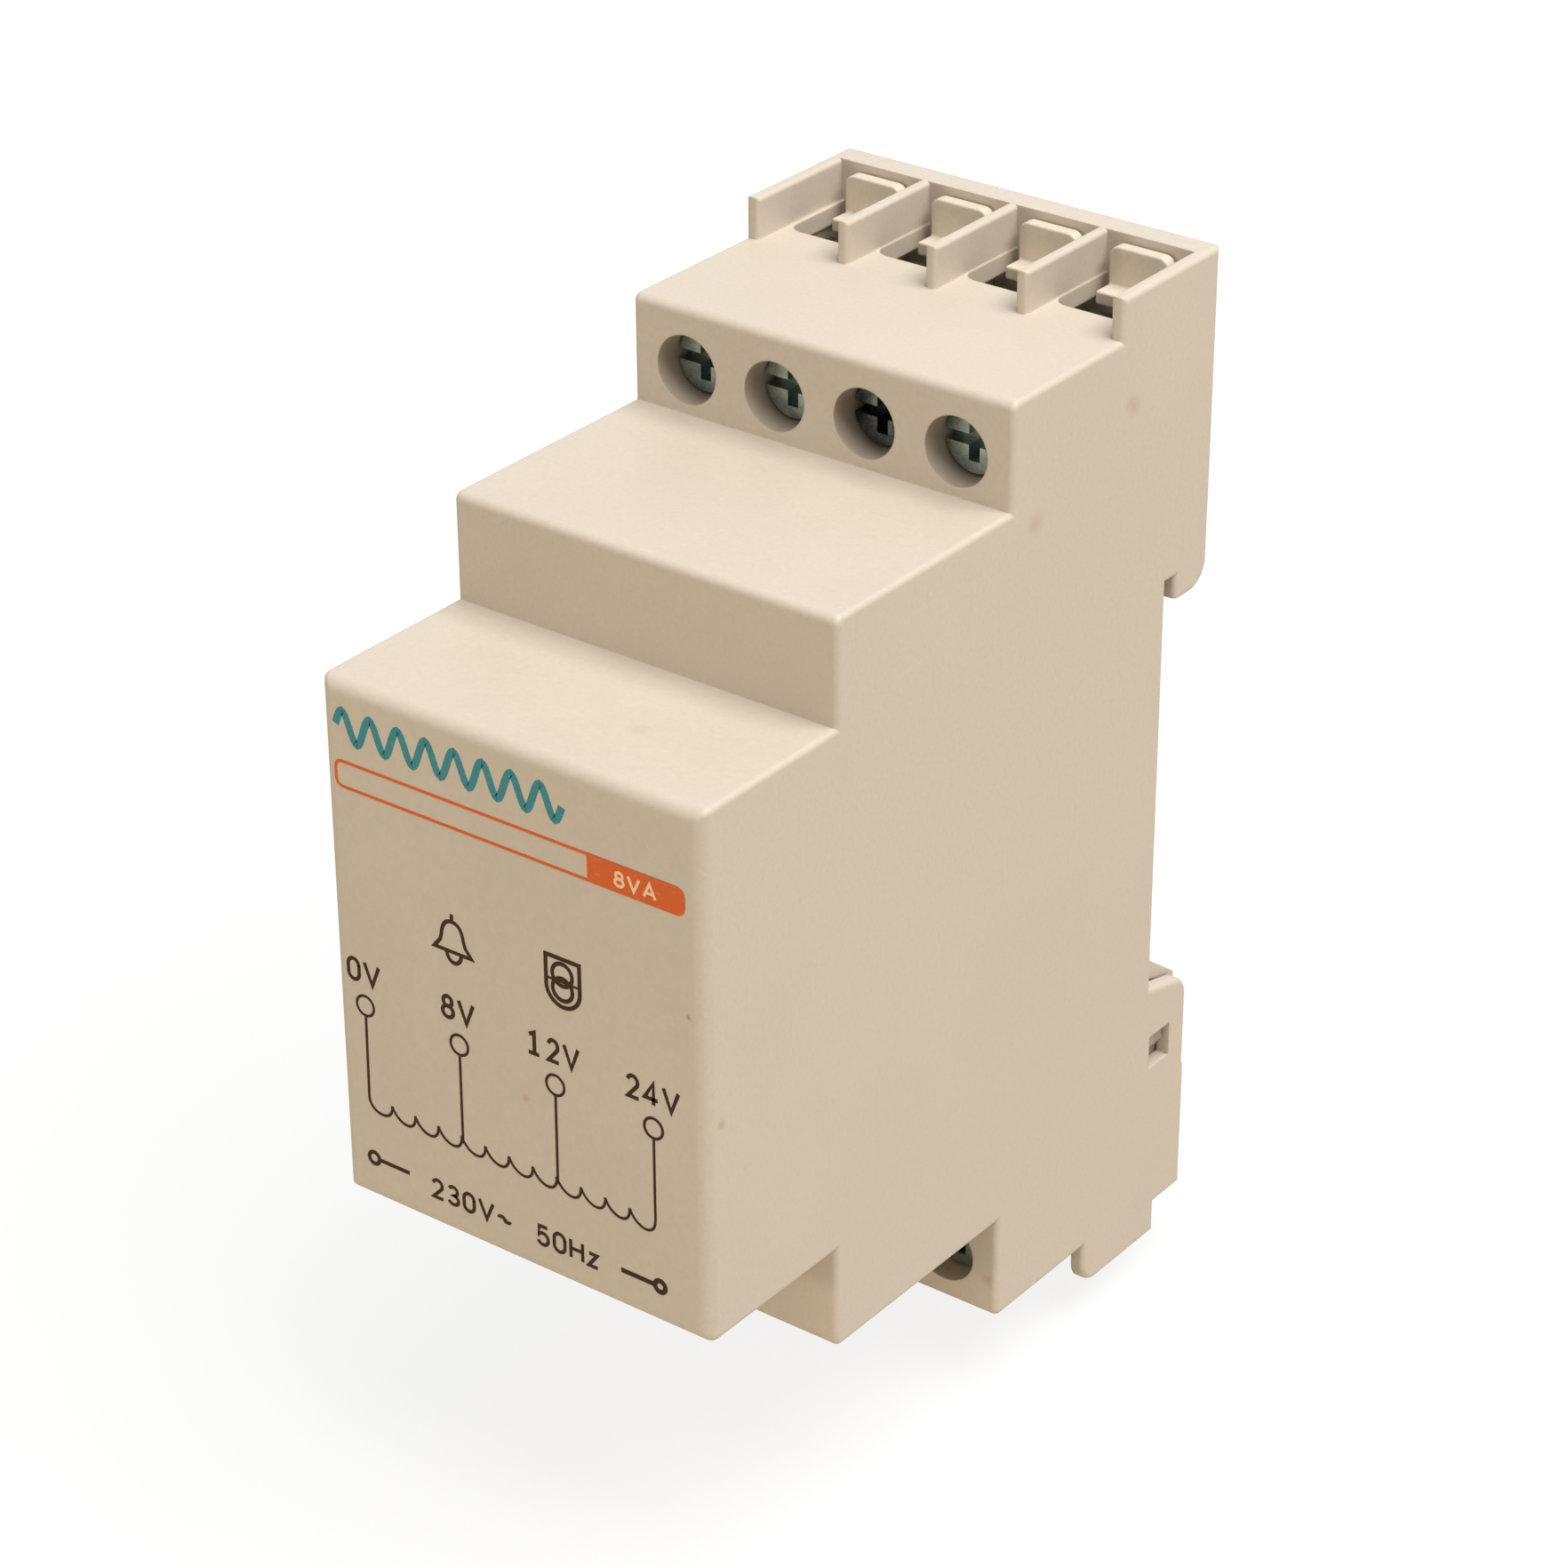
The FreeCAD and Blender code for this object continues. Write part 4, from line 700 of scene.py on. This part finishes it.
bar_sheet = bmesh.new()
inset = BAR_PEN / 2
outline = soft_box(BAR_LEFT + inset, BAR_RIGHT - inset, BAR_LOW + inset, BAR_TOP - inset,
                   CORNER - inset)
stroke(bar_sheet, outline, BAR_PEN, closed=True)
patch(bar_sheet, soft_box(BAR_FILL, BAR_RIGHT, BAR_LOW, BAR_TOP, CORNER, round_left=False))
rating_bar = ink_piece("print_rating_bar", ink_orange, bar_sheet)
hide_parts("print_bar")
rating = bmesh.new()
lettering(rating, "8VA", RATING_LEFT, RATING_RIGHT, RATING_LOW, RATING_TOP, RATING_PEN,
          raised=INK)
ink_piece("print_rating", ink_pale, rating)
print("bar, mm:", round(BAR_RIGHT - BAR_LEFT, 2), "by", round(BAR_TOP - BAR_LOW, 2))

# %% [markdown]
# ## A plain wave
#
# Above the bar runs an even wave in teal, a plain ornament that stands for the
# alternating current at the terminals.

# %% Wave
WAVE_LEFT, WAVE_RIGHT, WAVE_LOW, WAVE_TOP = -16.5, 5.2, 17.75, 20.2
WAVES = 8
WAVE_STEPS = WAVES * 16
WAVE_PEN = 0.66
wave = bmesh.new()
points = []
for k in range(WAVE_STEPS + 1):
    part = k / WAVE_STEPS
    swing = (WAVE_TOP - WAVE_LOW) / 2 * math.sin(2 * math.pi * WAVES * part)
    points.append((WAVE_LEFT + (WAVE_RIGHT - WAVE_LEFT) * part,
                   (WAVE_LOW + WAVE_TOP) / 2 + swing))
stroke(wave, points, WAVE_PEN)
ink_piece("print_wave", ink_teal, wave)
print("wave length, mm:", round((WAVE_RIGHT - WAVE_LEFT) / WAVES, 2))

# %% [markdown]
# ## Studio
#
# A pale floor, a large soft lamp above and to the right, a small weak one before the
# front, and an even sky. The large lamp's light falls mostly on the upper faces, less
# on the right side and least on the front, as in the photograph. The floor lifts what
# the camera sees to white but keeps the shadow, and fades to pure white away from the
# object, so that no horizon shows. It throws a little warm light back on the object.
# It lies a little below the foot, because the rail clip slides down that far, and it
# is clear from below, so that the underside can be looked at too.

# %% Studio
def lamp(name, place, aim, side, watts):
    """A square soft lamp at place, turned to aim."""
    light = bpy.data.lights.new(name, "AREA")
    light.shape = "SQUARE"
    light.size = side
    light.energy = watts
    holder = bpy.data.objects.new(name, light)
    holder.location = place
    holder.rotation_euler = (aim - place).to_track_quat("-Z", "Y").to_euler()
    bpy.context.scene.collection.objects.link(holder)
    return holder


AIM = Vector((0.0, -0.027, 0.0))
KEY_WAY = Vector((0.39, 0.0, 0.92))
KEY_AWAY, KEY_SIDE, KEY_WATTS = 0.8, 0.59, 8.6
FILL_PLACE = Vector((-0.06, -0.335, 0.045))
FILL_SIDE, FILL_WATTS = 0.03, 0.137
lamp("key_lamp", AIM + KEY_WAY * KEY_AWAY, AIM, KEY_SIDE, KEY_WATTS)
fill = lamp("fill_lamp", FILL_PLACE, AIM, FILL_SIDE, FILL_WATTS)
fill.data.color = linear("#FFEFCA")[:3]

WHITE = (1.0, 1.0, 1.0, 1.0)
SKY_LIGHT = 0.30
world = bpy.data.worlds.new("studio_sky")
bpy.context.scene.world = world
world.use_nodes = True
sky = world.node_tree
sky.nodes.clear()
path = add(sky, "LightPath")
seen = add(sky, "Math", {"operation": "MAXIMUM"},
           {0: path.outputs["Is Camera Ray"], 1: path.outputs["Is Glossy Ray"]})
seen = add(sky, "Math", {"operation": "MAXIMUM"},
           {0: seen.outputs[0], 1: path.outputs["Is Transmission Ray"]})
level = remap(sky, seen.outputs[0], 0.0, 1.0, SKY_LIGHT, 1.0)
glow = add(sky, "Background", inputs={"Color": WHITE, "Strength": level})
add(sky, "OutputWorld", inputs={"Surface": glow.outputs[0]})

SHADOW_LIFT = 0.85
FADE_FROM, FADE_TO = 0.12, 0.5
floor_paper, paper, here = start("floor_paper")
path = add(paper, "LightPath")
tint = blend(paper, noise(paper, here, 40), linear("#666665"), linear("#6A6A69"))
lit = add(paper, "BsdfDiffuse", inputs={"Color": tint})
away = add(paper, "VectorMath", {"operation": "LENGTH"}, {0: here})
even = remap(paper, away.outputs["Value"], FADE_FROM, FADE_TO, SHADOW_LIFT, 1.0,
             kind="SMOOTHSTEP")
lift = add(paper, "Emission", inputs={"Color": WHITE, "Strength": even})
both = add(paper, "AddShader", inputs={0: lit.outputs[0], 1: lift.outputs[0]})
warm = add(paper, "BsdfDiffuse", inputs={"Color": linear("#D9CFBE")})
choose = add(paper, "MixShader", inputs={0: path.outputs["Is Camera Ray"], 1: warm.outputs[0],
                                         2: both.outputs[0]})
under = add(paper, "NewGeometry").outputs["Backfacing"]
clear = add(paper, "BsdfTransparent")
seen = add(paper, "MixShader", inputs={0: under, 1: choose.outputs[0], 2: clear.outputs[0]})
add(paper, "OutputMaterial", inputs={"Surface": seen.outputs[0]})

FLOOR_SIDE = 4.0
CLIP_ROOM = 3.4
sheet = bmesh.new()
bmesh.ops.create_grid(sheet, x_segments=1, y_segments=1, size=FLOOR_SIDE / 2)
ground = bpy.data.meshes.new("floor")
sheet.to_mesh(ground)
sheet.free()
ground.materials.append(floor_paper)
floor = bpy.data.objects.new("floor", ground)
floor.location.z = cad_box[0].z - CLIP_ROOM * MM
bpy.context.scene.collection.objects.link(floor)
bpy.context.scene.view_settings.view_transform = "Standard"
print("floor at, mm:", round(floor.location.z / MM, 2))

# %% [markdown]
# ## The end
#
# The dressed model has to stay as large as the CAD model.

# %% The end
print("done")
